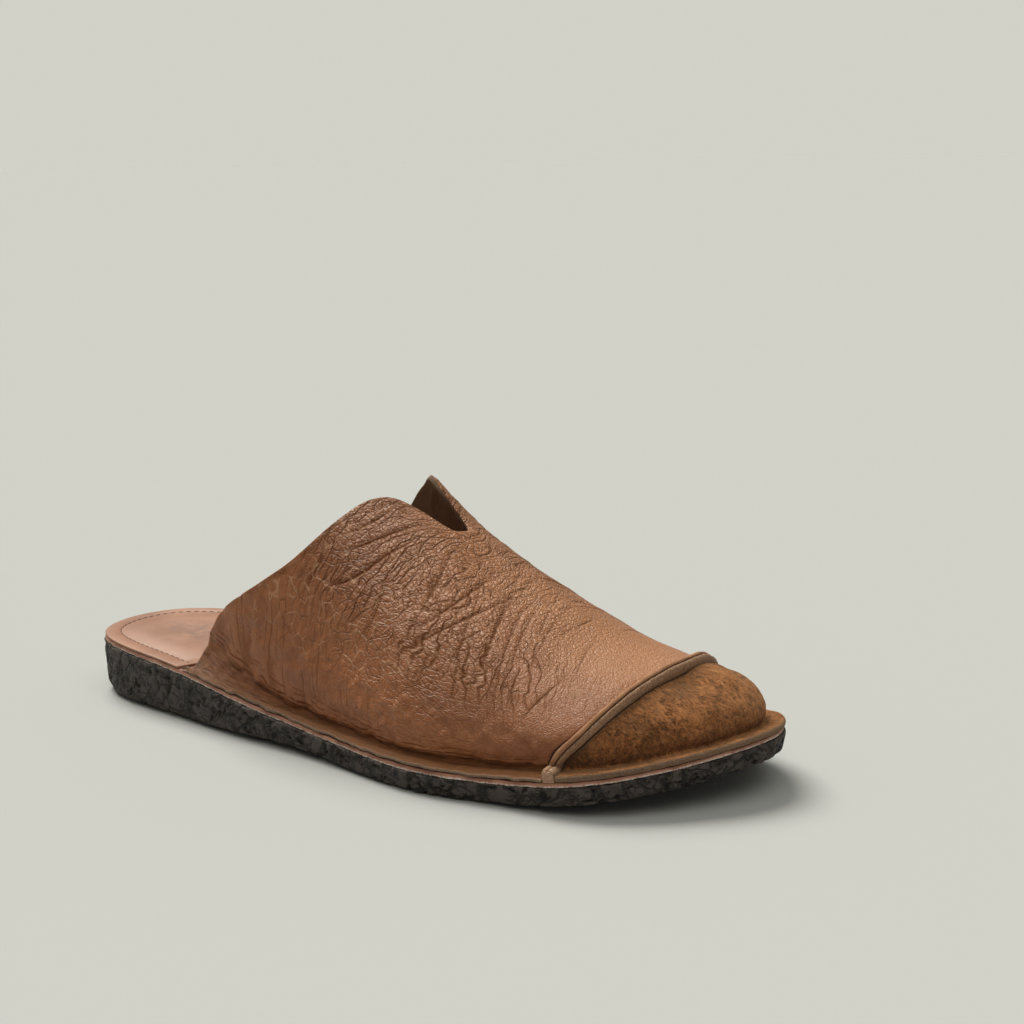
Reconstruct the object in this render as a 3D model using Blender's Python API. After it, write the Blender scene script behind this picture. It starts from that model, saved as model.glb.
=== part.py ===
"""Leather mule clog, right shoe, standing empty on its sole.

Frame: +X toward the toe, -Y the lateral (outer) side, +Y the medial (inner)
side, +Z up. The origin is at the bottom centre of the whole shoe. The tables
hold lengths as shares of the named sizes. All sizes are in millimetres here
and are turned into metres where a mesh is made.
"""

import math

import bmesh
import bpy
import numpy as np

# Driving dimensions, millimetres.
SOLE_LENGTH = 285.0
BALL_WIDTH = 106.0
INSTEP_HEIGHT = 88.0
HEEL_RUBBER = 20.7
FOREFOOT_RUBBER = 6.8
TOE_SPRING = 11.9
ARCH_LIFT = 1.4
MIDSOLE_THICK = 1.3
INSOLE_THICK = 0.8
LEATHER_THICK = 2.0
GAP = 0.3
FLANGE_WIDTH = 8.0
FLANGE_SETBACK = 0.7
SEAM_WIDTH = 4.6
SEAM_PROUD = 3.2
SEAM_GROOVE = 0.7
RUBBER_EDGE_INSET = 1.5
TOE_LAG = 9.0
WALL_BULGE = 2.4
SECTION_POWER = 2.2
LIP_LIFT = 6.0
FLANGE_START = 0.236

# Sole outline, heel back round the lateral side to the toe and back.
# Columns: share of SOLE_LENGTH, share of BALL_WIDTH (lateral is negative).
OUTLINE = (
    (0.000, 0.002), (0.026, -0.201), (0.093, -0.297), (0.201, -0.343),
    (0.329, -0.392), (0.449, -0.419), (0.559, -0.469), (0.660, -0.503),
    (0.759, -0.465), (0.863, -0.409), (0.939, -0.243), (0.985, -0.060),
    (1.000, 0.104), (0.984, 0.237), (0.942, 0.363), (0.861, 0.441),
    (0.760, 0.491), (0.680, 0.493), (0.560, 0.421), (0.450, 0.340),
    (0.330, 0.298), (0.200, 0.320), (0.091, 0.310), (0.025, 0.201),
)

# Crown line of the upper, from the lips of the notch to the toe.
# Columns: share of SOLE_LENGTH, height as a share of INSTEP_HEIGHT.
CROWN = (
    (0.210, 1.480), (0.421, 1.160), (0.509, 1.003), (0.586, 0.848),
    (0.667, 0.693), (0.737, 0.590), (0.800, 0.510), (0.860, 0.456),
    (0.905, 0.433), (0.940, 0.417), (1.000, 0.385),
)

# Radius of the bend between the wall and the flange.
# Columns: share of SOLE_LENGTH, millimetres.
FOOT_BEND = ((0.22, 4.0), (0.30, 2.8), (0.40, 1.9), (1.00, 1.9))

# Side position of the crown line. Columns: share of SOLE_LENGTH, share of BALL_WIDTH.
CROWN_SIDE = ((0.21, 0.04), (0.51, 0.05), (0.74, 0.06), (0.94, 0.105), (1.00, 0.12))

# Rear edge of the upper. Columns: place up the section (0 foot, 1 crown),
# station on the feather line as a share of SOLE_LENGTH. The end of the table
# is the V notch at the instep.
TOPLINE = (
    (0.000, 0.258), (0.037, 0.267), (0.070, 0.278), (0.115, 0.296),
    (0.177, 0.330), (0.263, 0.375), (0.365, 0.417), (0.458, 0.442),
    (0.615, 0.471), (0.705, 0.483), (0.777, 0.495), (0.828, 0.507),
    (0.868, 0.526), (0.895, 0.550), (0.917, 0.571), (0.940, 0.581),
    (1.000, 0.586),
)

# The same on the medial side, whose lip stands higher beside the notch.
TOPLINE_MEDIAL = (
    (0.000, 0.258), (0.037, 0.267), (0.070, 0.278), (0.115, 0.296),
    (0.177, 0.330), (0.263, 0.375), (0.365, 0.415), (0.458, 0.440),
    (0.610, 0.473), (0.695, 0.490), (0.780, 0.503), (0.860, 0.515),
    (0.920, 0.535), (0.965, 0.565), (1.000, 0.586),
)

# Seam across the toe. Columns: place up the section, share of SOLE_LENGTH.
SEAM = (
    (0.000, 0.822), (0.050, 0.826), (0.160, 0.843), (0.340, 0.860),
    (0.550, 0.876), (0.780, 0.893), (1.000, 0.903),
)
SEAM_MEDIAL_SHIFT = 0.008


def table(rows, scale_in, scale_out, level_end=False):
    """A smooth curve through a short table, never overshooting its rows."""
    xs = np.array([r[0] for r in rows]) * scale_in
    ys = np.array([r[1] for r in rows]) * scale_out
    h = np.diff(xs)
    slope = np.diff(ys) / h
    d = np.zeros(len(xs))
    for i in range(1, len(xs) - 1):
        if slope[i - 1] * slope[i] > 0:
            w1 = 2 * h[i] + h[i - 1]
            w2 = h[i] + 2 * h[i - 1]
            d[i] = (w1 + w2) / (w1 / slope[i - 1] + w2 / slope[i])
    d[0] = slope[0]
    d[-1] = 0.0 if level_end else slope[-1]

    def curve(x):
        x = np.clip(np.asarray(x, float), xs[0], xs[-1])
        k = np.clip(np.searchsorted(xs, x, side="right") - 1, 0, len(h) - 1)
        t = (x - xs[k]) / h[k]
        a = (1 + 2 * t) * (1 - t) ** 2
        b = t * (1 - t) ** 2 * h[k]
        c = t * t * (3 - 2 * t)
        e = t * t * (t - 1) * h[k]
        return a * ys[k] + b * d[k] + c * ys[k + 1] + e * d[k + 1]

    return curve


def closed_spline(points, count):
    """A smooth closed curve through the points, at even chord steps."""
    p = np.vstack([points, points[:1]])
    steps = np.hypot(*np.diff(p, axis=0).T)
    s = np.concatenate([[0.0], np.cumsum(steps)])
    n = len(steps)
    system = np.zeros((n, n))
    right = np.zeros((n, 2))
    for i in range(n):
        j = (i - 1) % n
        system[i, j] += steps[j]
        system[i, i] += 2 * (steps[i] + steps[j])
        system[i, (i + 1) % n] += steps[i]
        right[i] = 6 * ((p[i + 1] - p[i]) / steps[i] - (p[i] - p[j]) / steps[j])
    m = np.linalg.solve(system, right)
    m = np.vstack([m, m[:1]])
    at = np.linspace(0, s[-1], count, endpoint=False)
    k = np.clip(np.searchsorted(s, at, side="right") - 1, 0, n - 1)
    h = steps[k][:, None]
    a = (s[k + 1] - at)[:, None] / h
    b = 1 - a
    bend = ((a**3 - a) * m[k] + (b**3 - b) * m[k + 1]) * h * h / 6
    return a * p[k] + b * p[k + 1] + bend


OUTER = closed_spline(np.array(OUTLINE) * [SOLE_LENGTH, BALL_WIDTH], 2400)
RUN = np.roll(OUTER, -1, axis=0) - np.roll(OUTER, 1, axis=0)
RUN = RUN / np.linalg.norm(RUN, axis=1)[:, None]
OUTWARD = np.column_stack([RUN[:, 1], -RUN[:, 0]])
if np.sum(OUTWARD * (OUTER - OUTER.mean(axis=0))) < 0:
    OUTWARD = -OUTWARD
FEATHER = OUTER - OUTWARD * FLANGE_WIDTH
TIP = int(FEATHER[:, 0].argmax())
HEEL = int(FEATHER[:, 0].argmin())
X_TIP = float(FEATHER[TIP, 0])

# The two halves of the outline, each from the heel back to the toe tip.
COUNT = len(OUTER)
LATERAL = [(HEEL + k) % COUNT for k in range((TIP - HEEL) % COUNT + 1)]
MEDIAL = [(HEEL - k) % COUNT for k in range((HEEL - TIP) % COUNT + 1)]
ORIGIN_X = (OUTER[:, 0].min() + OUTER[:, 0].max()) / 2
ORIGIN_Y = (OUTER[:, 1].min() + OUTER[:, 1].max()) / 2

crown_height = table(CROWN, SOLE_LENGTH, INSTEP_HEIGHT)
crown_side = table(CROWN_SIDE, SOLE_LENGTH, BALL_WIDTH)
foot_bend = table(FOOT_BEND, SOLE_LENGTH, 1.0)
topline_lateral = table(TOPLINE, 1.0, SOLE_LENGTH, level_end=True)
topline_medial = table(TOPLINE_MEDIAL, 1.0, SOLE_LENGTH, level_end=True)
seam_line = table(SEAM, 1.0, SOLE_LENGTH, level_end=True)


def rubber_bottom(x):
    """Ground side: flat at the heel and the ball, lifted at the arch and toe."""
    u = np.asarray(x, float) / SOLE_LENGTH
    arch = np.clip((u - 0.24) / 0.36, 0, 1)
    spring = np.clip((u - 0.70) / 0.30, 0, 1)
    return ARCH_LIFT * np.sin(math.pi * arch) ** 2 + TOE_SPRING * spring**2


def rubber_top(x):
    """Top of the rubber: a wedge from the heel down to the forefoot."""
    u = np.asarray(x, float) / SOLE_LENGTH
    start = 1 / (1 + math.exp(-0.33 / 0.09))
    wedge = 1 / (1 + np.exp((u - 0.33) / 0.09)) / start
    spring = np.clip((u - 0.70) / 0.30, 0, 1)
    return FOREFOOT_RUBBER + (HEEL_RUBBER - FOREFOOT_RUBBER) * wedge + TOE_SPRING * spring**2


def flange_top(x):
    """Top face of the turned-out flange."""
    return rubber_top(x) + MIDSOLE_THICK + LEATHER_THICK + 2 * GAP


def foot(x, side):
    """Feather point and outward direction at station x, on one side."""
    index = LATERAL if side < 0 else MEDIAL
    xs = np.maximum.accumulate(FEATHER[index, 0])
    y = np.interp(x, xs, FEATHER[index, 1])
    nx = np.interp(x, xs, OUTWARD[index, 0])
    ny = np.interp(x, xs, OUTWARD[index, 1])
    size = np.hypot(nx, ny)
    return y, nx / size, ny / size


def skin(x, side, q):
    """Outer face of the upper: station x, place q up the section."""
    y, nx, ny = foot(x, side)
    lag = TOE_LAG * np.clip((x - 170) / (X_TIP - 170), 0, 1) ** 4
    top_x = x - lag
    top_y = crown_side(top_x)
    q = np.clip(q, 0, 1)
    inward = 1 - np.clip(np.cos(math.pi * q / 2), 0, 1) ** (2 / SECTION_POWER)
    upward = np.sin(math.pi * q / 2) ** (2 / SECTION_POWER)
    bulge = WALL_BULGE * np.sin(math.pi * np.clip(q / 0.7, 0, 1) ** 0.7)
    px = x + (top_x - x) * inward + nx * bulge
    py = y + (top_y - y) * inward + ny * bulge
    base = flange_top(x) * (1 - inward) + flange_top(top_x) * inward
    pz = base + (crown_height(px) - base) * upward
    if side > 0:
        near = np.clip((0.585 * SOLE_LENGTH - x) / (0.09 * SOLE_LENGTH), 0, 1)
        high = np.clip((q - 0.35) / 0.55, 0, 1)
        pz = pz + LIP_LIFT * near**2 * (3 - 2 * near) * high**2 * (3 - 2 * high)
    return np.stack([px, py, pz], axis=-1)


def wall_start(x):
    """Where the bend at the foot of the wall ends, as a place q."""
    height = crown_height(x) - flange_top(x)
    share = (foot_bend(x) / height) ** (SECTION_POWER / 2)
    return 2 / math.pi * np.arcsin(np.clip(share, 0, 1))


def shell(x, side, c):
    """Outer face with its flange. c runs 0 flange edge, 1 flange end, 2 wall foot, 3 crown."""
    y, nx, ny = foot(x, side)
    edge = FLANGE_WIDTH - FLANGE_SETBACK

    def flat(out):
        return np.array([x + nx * out, y + ny * out, float(flange_top(x + nx * out))])

    if c <= 1:
        return flat(edge + (foot_bend(x) - edge) * c)
    start = float(wall_start(x))
    if c < 2:
        t = c - 1
        a = flat(foot_bend(x))
        b = flat(0.0)
        d = skin(x, side, start)
        return (1 - t) ** 2 * a + 2 * t * (1 - t) * b + t * t * d
    return skin(x, side, start + (1 - start) * (c - 2))


def top_station(side, c):
    """Station of the upper's rear edge for a column of the shell."""
    line = topline_lateral if side < 0 else topline_medial
    wall = float(line(max(c - 2, 0)))
    return wall - (wall - FLANGE_START * SOLE_LENGTH) * max(1 - c / 2, 0)


def seam_station(side, c):
    """Station of the toe seam for a column of the shell."""
    s = max(c - 2, 0)
    shift = SEAM_MEDIAL_SHIFT * SOLE_LENGTH * (1 - s) if side > 0 else 0.0
    return float(seam_line(s)) + shift


def seam_frame(side, c):
    """Centre, along, across (toward the toe) and normal of the seam."""
    e = 0.01
    low = max(c - e, 0)
    high = min(c + e, 3)
    centre = shell(seam_station(side, c), side, c)
    along = shell(seam_station(side, high), side, high) - shell(seam_station(side, low), side, low)
    along = along / np.linalg.norm(along)
    x = seam_station(side, c)
    grow = (shell(x + 0.2, side, c) - shell(x - 0.2, side, c)) / 0.4
    across = grow - along * np.dot(grow, along)
    reach = np.linalg.norm(across)
    across = across / reach
    normal = np.cross(across, along) * (1 if side < 0 else -1)
    return centre, along, across, normal, reach


def seam_points():
    """The seam line as points, from one sole edge over the toe to the other."""
    cs = np.linspace(0, 3, 181)
    left = [shell(seam_station(-1, c), -1, c) for c in cs]
    right = [shell(seam_station(1, c), 1, c) for c in cs[::-1]]
    return np.array(left + right)


SEAM_POINTS = seam_points()


def beside_seam(side, c, distance):
    """Station on column c whose point is this far from the whole seam line."""
    near = seam_station(side, c)
    step = math.copysign(1.0, distance)
    low = 0.0
    high = 4 * abs(distance)
    for _ in range(22):
        middle = (low + high) / 2
        point = shell(min(near + step * middle, X_TIP), side, c)
        reach = np.linalg.norm(SEAM_POINTS - point, axis=1).min()
        if reach < abs(distance):
            low = middle
        else:
            high = middle
    return min(near + step * high, X_TIP)


def make_object(name, vertices, faces, colour, roughness):
    """One closed or open mesh object, from millimetres, with its material."""
    shifted = np.asarray(vertices, float) - [ORIGIN_X, ORIGIN_Y, 0]
    mesh = bpy.data.meshes.new(name)
    mesh.from_pydata((shifted * 0.001).tolist(), [], faces)
    mesh.validate()
    weld = bmesh_weld(mesh)
    obj = bpy.data.objects.new(name, weld)
    bpy.context.scene.collection.objects.link(obj)
    material = bpy.data.materials.new(name + "_material")
    material.use_nodes = True
    shader = material.node_tree.nodes["Principled BSDF"]
    shader.inputs["Base Color"].default_value = (*colour, 1.0)
    shader.inputs["Roughness"].default_value = roughness
    obj.data.materials.append(material)
    return obj


def bmesh_weld(mesh):
    """Points that fall on each other made one, and collapsed faces dropped."""
    work = bmesh.new()
    work.from_mesh(mesh)
    bmesh.ops.remove_doubles(work, verts=work.verts, dist=2e-6)
    bmesh.ops.dissolve_degenerate(work, edges=work.edges, dist=1e-6)
    work.to_mesh(mesh)
    work.free()
    return mesh


def add_wall(obj):
    """Leather thickness, grown inward from the outer face."""
    wall = obj.modifiers.new("leather", "SOLIDIFY")
    wall.thickness = LEATHER_THICK * 0.001
    wall.offset = -1
    wall.use_even_offset = True
    wall.use_quality_normals = True


def sheet(rows_of_points):
    """Faces of a grid of points, wound so that they face outward."""
    rows = len(rows_of_points)
    cols = len(rows_of_points[0])
    vertices = [p for row in rows_of_points for p in row]
    faces = []
    for i in range(rows - 1):
        for j in range(cols - 1):
            a = i * cols + j
            faces.append((a, a + cols, a + cols + 1, a + 1))
    return vertices, faces


# Columns of the shell on one side: flange, bend, wall up to the crown.
WALL_COLUMNS = (
    0.0, 0.05, 0.11, 0.18, 0.26, 0.35, 0.45, 0.55, 0.64, 0.72,
    0.78, 0.83, 0.87, 0.905, 0.94, 0.97, 1.0,
)
COLUMNS = [0.0, 0.5, 1.0, 1.35, 1.7] + [2 + s for s in WALL_COLUMNS]
HALF = SEAM_WIDTH / 2 + GAP + 0.55


def both_sides(row_point):
    """One row across the whole upper: lateral foot, crown, medial foot."""
    lateral = [row_point(-1, c) for c in COLUMNS]
    medial = [row_point(1, c) for c in COLUMNS[:-1]]
    return lateral + medial[::-1]


def build_upper():
    steps = 34
    rows = []
    for i in range(steps + 1):
        t = i / steps

        def point(side, c, t=t):
            first = top_station(side, c)
            last = beside_seam(side, c, -HALF)
            return shell(first + (last - first) * t, side, c)

        rows.append(both_sides(point))
    vertices, faces = sheet(rows)
    obj = make_object("upper", vertices, faces, (0.20, 0.095, 0.045), 0.45)
    add_wall(obj)


def build_toe_cap():
    steps = 13
    rows = []
    for i in range(steps + 1):
        t = i / steps

        def point(side, c, t=t):
            first = beside_seam(side, c, HALF)
            return shell(X_TIP - (X_TIP - first) * (1 - t) ** 2, side, c)

        rows.append(both_sides(point))
    vertices, faces = sheet(rows)
    obj = make_object("toe_cap", vertices, faces, (0.19, 0.08, 0.03), 0.9)
    add_wall(obj)


def build_toe_seam():
    """Two turned-out edges side by side, as one bar with a groove on top."""
    half = SEAM_WIDTH / 2
    low = -LEATHER_THICK
    path = []
    wall = list(np.linspace(2.05, 2.97, 21))
    half_path = [0.0, 0.5, 1.0, 1.25, 1.5, 1.75, 2.0] + wall
    for side, cs in ((-1, half_path + [3.0]), (1, half_path[::-1])):
        for c in cs:
            centre, along, across, normal, _ = seam_frame(side, c)
            proud = SEAM_PROUD if c >= 2.2 else SEAM_PROUD * 0.8
            path.append((centre, across, normal, proud))
    section_count = 9
    vertices = []
    for centre, across, normal, proud in path:
        outline = (
            (-half, low), (-half, proud - 0.6), (-half + 0.5, proud),
            (-0.5, proud), (0.0, proud - SEAM_GROOVE), (0.5, proud),
            (half - 0.5, proud), (half, proud - 0.6), (half, low),
        )
        for a, n in outline:
            vertices.append(centre + across * a + normal * n)
    faces = []
    for i in range(len(path) - 1):
        for j in range(section_count):
            a = i * section_count + j
            b = i * section_count + (j + 1) % section_count
            faces.append((a, b, b + section_count, a + section_count))
    last = (len(path) - 1) * section_count
    faces.append(tuple(range(section_count))[::-1])
    faces.append(tuple(last + j for j in range(section_count)))
    make_object("toe_seam", vertices, faces, (0.30, 0.22, 0.16), 0.7)


def ring(offsets, count=60):
    """Paired outline points, heel to toe, at an inset given for each station.

    It returns the lateral and the medial points. The first and the last pair
    are one point each.
    """
    halves = []
    for index in (LATERAL, MEDIAL):
        places = np.linspace(0, len(index) - 1, count + 1)
        chosen = [index[int(round(p))] for p in places]
        halves.append(chosen)
    lateral = []
    medial = []
    for k in range(count + 1):
        for side, chosen in ((lateral, halves[0]), (medial, halves[1])):
            p = OUTER[chosen[k]]
            side.append(p - OUTWARD[chosen[k]] * offsets(p[0]))
    return lateral, medial


def stack(name, levels, colour, roughness, count=60):
    """A closed layer. Each level is (lateral, medial, height function)."""
    vertices = []
    size = None
    for lateral, medial, height in levels:
        loop = list(lateral) + list(medial[1:-1])[::-1]
        size = len(loop)
        for p in loop:
            vertices.append((p[0], p[1], float(height(p[0]))))
    faces = []
    for level in range(len(levels) - 1):
        for j in range(size):
            a = level * size + j
            b = level * size + (j + 1) % size
            faces.append((a, b, b + size, a + size))
    rungs = len(levels[0][0]) - 1
    for level, flip in ((0, True), (len(levels) - 1, False)):
        base = level * size
        for j in range(rungs):
            corners = [base + j, base + j + 1]
            far_next = base + (size - j - 1) % size
            far = base + (size - j) % size
            corners += [far_next] if j + 1 < rungs or far_next != base + j + 1 else []
            corners += [far] if far != base + j else []
            unique = []
            for v in corners:
                if v not in unique:
                    unique.append(v)
            if len(unique) >= 3:
                faces.append(tuple(unique[::-1] if flip else unique))
    return make_object(name, vertices, faces, colour, roughness)


def build_outsole():
    inset = RUBBER_EDGE_INSET

    def level(offset, height):
        lateral, medial = ring(lambda x: offset)
        return lateral, medial, height

    def lifted(amount):
        return lambda x: rubber_bottom(x) + amount

    levels = [
        level(inset + 1.6, lifted(0.0)),
        level(inset + 0.5, lifted(0.5)),
        level(inset, lifted(1.6)),
        level(0.5, lambda x: rubber_bottom(x) + 0.45 * (rubber_top(x) - rubber_bottom(x))),
        level(0.0, lambda x: rubber_top(x) - 0.8),
        level(0.4, rubber_top),
    ]
    stack("outsole", levels, (0.045, 0.038, 0.034), 0.85)


def build_midsole():
    lateral, medial = ring(lambda x: FLANGE_SETBACK)
    low = (lateral, medial, lambda x: rubber_top(x) + GAP)
    high = (lateral, medial, lambda x: rubber_top(x) + GAP + MIDSOLE_THICK)
    stack("midsole", [low, high], (0.40, 0.21, 0.13), 0.6)


def build_insole():
    """Full outline at the heel, then a step in to the inside of the upper."""
    inner = FLANGE_WIDTH + LEATHER_THICK + 1.0
    count = 60
    loops = []
    for index in (LATERAL, MEDIAL):
        xs = FEATHER[index, 0]
        length = np.concatenate([[0], np.cumsum(np.hypot(*np.diff(OUTER[index], axis=0).T))])
        step_at = FLANGE_START * SOLE_LENGTH
        step = int(np.argmax(xs > step_at))
        back = int(np.searchsorted(length, length[step] - GAP - 1.4))
        rear = [int(round(k)) for k in np.linspace(0, back, 16)]
        front = [int(round(k)) for k in np.linspace(back, len(index) - 1, count - 14)]
        points = [OUTER[index[k]] - OUTWARD[index[k]] * FLANGE_SETBACK for k in rear]
        points += [OUTER[index[k]] - OUTWARD[index[k]] * inner for k in front]
        loops.append(points)
    base = GAP + MIDSOLE_THICK + GAP
    low = (loops[0], loops[1], lambda x: rubber_top(x) + base)
    high = (loops[0], loops[1], lambda x: rubber_top(x) + base + INSOLE_THICK)
    stack("insole", [low, high], (0.52, 0.33, 0.23), 0.55)


for old in list(bpy.data.objects):
    bpy.data.objects.remove(old, do_unlink=True)

build_outsole()
build_midsole()
build_insole()
build_upper()
build_toe_cap()
build_toe_seam()
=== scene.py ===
import math

import bmesh
import bpy
import numpy as np
from mathutils import Matrix, Vector, noise


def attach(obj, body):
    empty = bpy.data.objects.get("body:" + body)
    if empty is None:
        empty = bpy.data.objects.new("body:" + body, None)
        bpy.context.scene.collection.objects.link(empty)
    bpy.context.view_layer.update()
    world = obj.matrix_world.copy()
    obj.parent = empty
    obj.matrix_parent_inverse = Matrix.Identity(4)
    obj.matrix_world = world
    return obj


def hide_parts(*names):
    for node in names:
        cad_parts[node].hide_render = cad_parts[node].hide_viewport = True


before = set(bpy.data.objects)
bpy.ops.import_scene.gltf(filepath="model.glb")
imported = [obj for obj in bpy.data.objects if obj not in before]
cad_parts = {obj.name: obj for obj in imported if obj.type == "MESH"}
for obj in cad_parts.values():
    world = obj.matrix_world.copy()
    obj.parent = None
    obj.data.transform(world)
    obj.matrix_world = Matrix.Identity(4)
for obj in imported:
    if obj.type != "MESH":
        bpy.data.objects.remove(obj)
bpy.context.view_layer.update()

# Outsole
# A wedge of dark crepe rubber, thick under the heel, thin under the ball and
# curved up at the toe. It is cut to the outline of the whole shoe, and its
# side keeps the folds and cracks of the raw sheet. All sizes are millimetres.

SOLE_LENGTH = 285.0
BALL_WIDTH = 106.0
HEEL_RUBBER = 20.7
FOREFOOT_RUBBER = 6.8
TOE_SPRING = 11.9
ARCH_LIFT = 1.4
# Shares of SOLE_LENGTH: where the wedge, the arch and the toe spring lie.
WEDGE_MIDDLE = 0.33
WEDGE_EASE = 0.09
ARCH_START = 0.24
ARCH_SPAN = 0.36
SPRING_START = 0.70
SPRING_SPAN = 0.30
# The wall of the upper stands on the feather line, this far inside the outline.
FLANGE_WIDTH = 8.0

# Columns: share of SOLE_LENGTH, share of BALL_WIDTH (lateral is negative).
OUTLINE = (
    (0.000, 0.002), (0.026, -0.201), (0.093, -0.297), (0.201, -0.343),
    (0.329, -0.392), (0.449, -0.419), (0.559, -0.469), (0.660, -0.503),
    (0.759, -0.465), (0.863, -0.409), (0.939, -0.243), (0.985, -0.060),
    (1.000, 0.104), (0.984, 0.237), (0.942, 0.363), (0.861, 0.441),
    (0.760, 0.491), (0.680, 0.493), (0.560, 0.421), (0.450, 0.340),
    (0.330, 0.298), (0.200, 0.320), (0.091, 0.310), (0.025, 0.201),
)
OUTLINE_STEPS = 4800

# Side of the rubber: height share, inset from the outline, and how much of the
# folds each level takes.
CREPE_SIDE = (
    (0.00, 6.50, 0.0), (0.03, 3.80, 0.5), (0.07, 2.30, 0.8), (0.13, 1.50, 1.0),
    (0.20, 1.20, 1.0), (0.30, 1.05, 1.0), (0.40, 0.90, 1.0), (0.50, 0.75, 1.0),
    (0.60, 0.60, 1.0), (0.70, 0.45, 1.0), (0.80, 0.30, 1.0), (0.88, 0.20, 0.8),
    (0.94, 0.15, 0.5), (0.98, 0.20, 0.3), (1.00, 0.60, 0.0),
)
CREPE_MIDDLE_ROW = 7

CREPE_DARK = (0.046, 0.034, 0.0275)
CREPE_PALE = (0.060, 0.045, 0.038)
CREPE_GRIT = (0.100, 0.080, 0.070)
CREPE_CRACK_SHADE = (0.006, 0.004, 0.004)


def closed_spline(points, count):
    """A smooth closed curve through the points, at even chord steps."""
    p = np.vstack([points, points[:1]])
    steps = np.hypot(*np.diff(p, axis=0).T)
    s = np.concatenate([[0.0], np.cumsum(steps)])
    n = len(steps)
    system = np.zeros((n, n))
    right = np.zeros((n, 2))
    for i in range(n):
        j = (i - 1) % n
        system[i, j] += steps[j]
        system[i, i] += 2 * (steps[i] + steps[j])
        system[i, (i + 1) % n] += steps[i]
        right[i] = 6 * ((p[i + 1] - p[i]) / steps[i] - (p[i] - p[j]) / steps[j])
    m = np.linalg.solve(system, right)
    m = np.vstack([m, m[:1]])
    at = np.linspace(0, s[-1], count, endpoint=False)
    k = np.clip(np.searchsorted(s, at, side="right") - 1, 0, n - 1)
    h = steps[k][:, None]
    a = (s[k + 1] - at)[:, None] / h
    b = 1 - a
    bend = ((a**3 - a) * m[k] + (b**3 - b) * m[k + 1]) * h * h / 6
    return a * p[k] + b * p[k + 1] + bend


OUTER = closed_spline(np.array(OUTLINE) * [SOLE_LENGTH, BALL_WIDTH], OUTLINE_STEPS)
RUN = np.roll(OUTER, -1, axis=0) - np.roll(OUTER, 1, axis=0)
RUN = RUN / np.linalg.norm(RUN, axis=1)[:, None]
OUTWARD = np.column_stack([RUN[:, 1], -RUN[:, 0]])
if np.sum(OUTWARD * (OUTER - OUTER.mean(axis=0))) < 0:
    OUTWARD = -OUTWARD
FEATHER = OUTER - OUTWARD * FLANGE_WIDTH
TIP = int(FEATHER[:, 0].argmax())
HEEL = int(FEATHER[:, 0].argmin())
COUNT = len(OUTER)
LATERAL = np.array([(HEEL + k) % COUNT for k in range((TIP - HEEL) % COUNT + 1)])
MEDIAL = np.array([(HEEL - k) % COUNT for k in range((HEEL - TIP) % COUNT + 1)])
ORIGIN = np.array([
    (OUTER[:, 0].min() + OUTER[:, 0].max()) / 2,
    (OUTER[:, 1].min() + OUTER[:, 1].max()) / 2,
    0.0,
])


def toe_lift(x):
    spring = np.clip((x / SOLE_LENGTH - SPRING_START) / SPRING_SPAN, 0, 1)
    return TOE_SPRING * spring**2


def rubber_bottom(x):
    arch = np.clip((x / SOLE_LENGTH - ARCH_START) / ARCH_SPAN, 0, 1)
    return ARCH_LIFT * np.sin(math.pi * arch) ** 2 + toe_lift(x)


def rubber_top(x):
    start = 1 / (1 + math.exp(-WEDGE_MIDDLE / WEDGE_EASE))
    wedge = 1 / (1 + np.exp((x / SOLE_LENGTH - WEDGE_MIDDLE) / WEDGE_EASE)) / start
    return FOREFOOT_RUBBER + (HEEL_RUBBER - FOREFOOT_RUBBER) * wedge + toe_lift(x)


def outline_ring(count, inset):
    """Points heel, lateral, toe, medial and back, inset by a width or by inset(x)."""
    halves = []
    for index in (LATERAL, MEDIAL):
        length = np.concatenate([[0], np.cumsum(np.hypot(*np.diff(OUTER[index], axis=0).T))])
        k = np.searchsorted(length, np.linspace(0, length[-1], count + 1))
        k = index[np.minimum(k, len(index) - 1)]
        width = inset(OUTER[k][:, 0])[:, None] if callable(inset) else inset
        halves.append(OUTER[k] - OUTWARD[k] * width)
    return np.vstack([halves[0], halves[1][1:-1][::-1]])


def with_height(ring, height):
    return np.column_stack([ring, height])


def unit(v):
    return v / np.maximum(np.linalg.norm(v, axis=-1, keepdims=True), 1e-9)


def lumps(points, scale, seed=0.0, detail=1):
    """Smooth noise, about -1 to 1, at points in millimetres."""
    flat = points.reshape(-1, 3) * scale + seed
    out = np.zeros(len(flat))
    gain = 1.0
    for level in range(detail):
        out += gain * np.array([noise.noise(Vector(v)) for v in flat * 2.0**level])
        gain *= 0.5
    return out.reshape(points.shape[:-1])


def mesh_piece(name, points, faces, fields=None):
    """A smooth mesh object from millimetres, with named values on its points."""
    mesh = bpy.data.meshes.new(name)
    shifted = (np.asarray(points, float) - ORIGIN) * 0.001
    mesh.from_pydata(shifted.tolist(), [], faces)
    for key, values in (fields or {}).items():
        values = np.asarray(values, np.float32)
        kind = "FLOAT_VECTOR" if values.ndim == 2 else "FLOAT"
        attribute = mesh.attributes.new(key, kind, "POINT")
        attribute.data.foreach_set("vector" if values.ndim == 2 else "value", values.ravel())
    mesh.polygons.foreach_set("use_smooth", [True] * len(mesh.polygons))
    mesh.update()
    obj = bpy.data.objects.new(name, mesh)
    bpy.context.scene.collection.objects.link(obj)
    return obj


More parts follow.
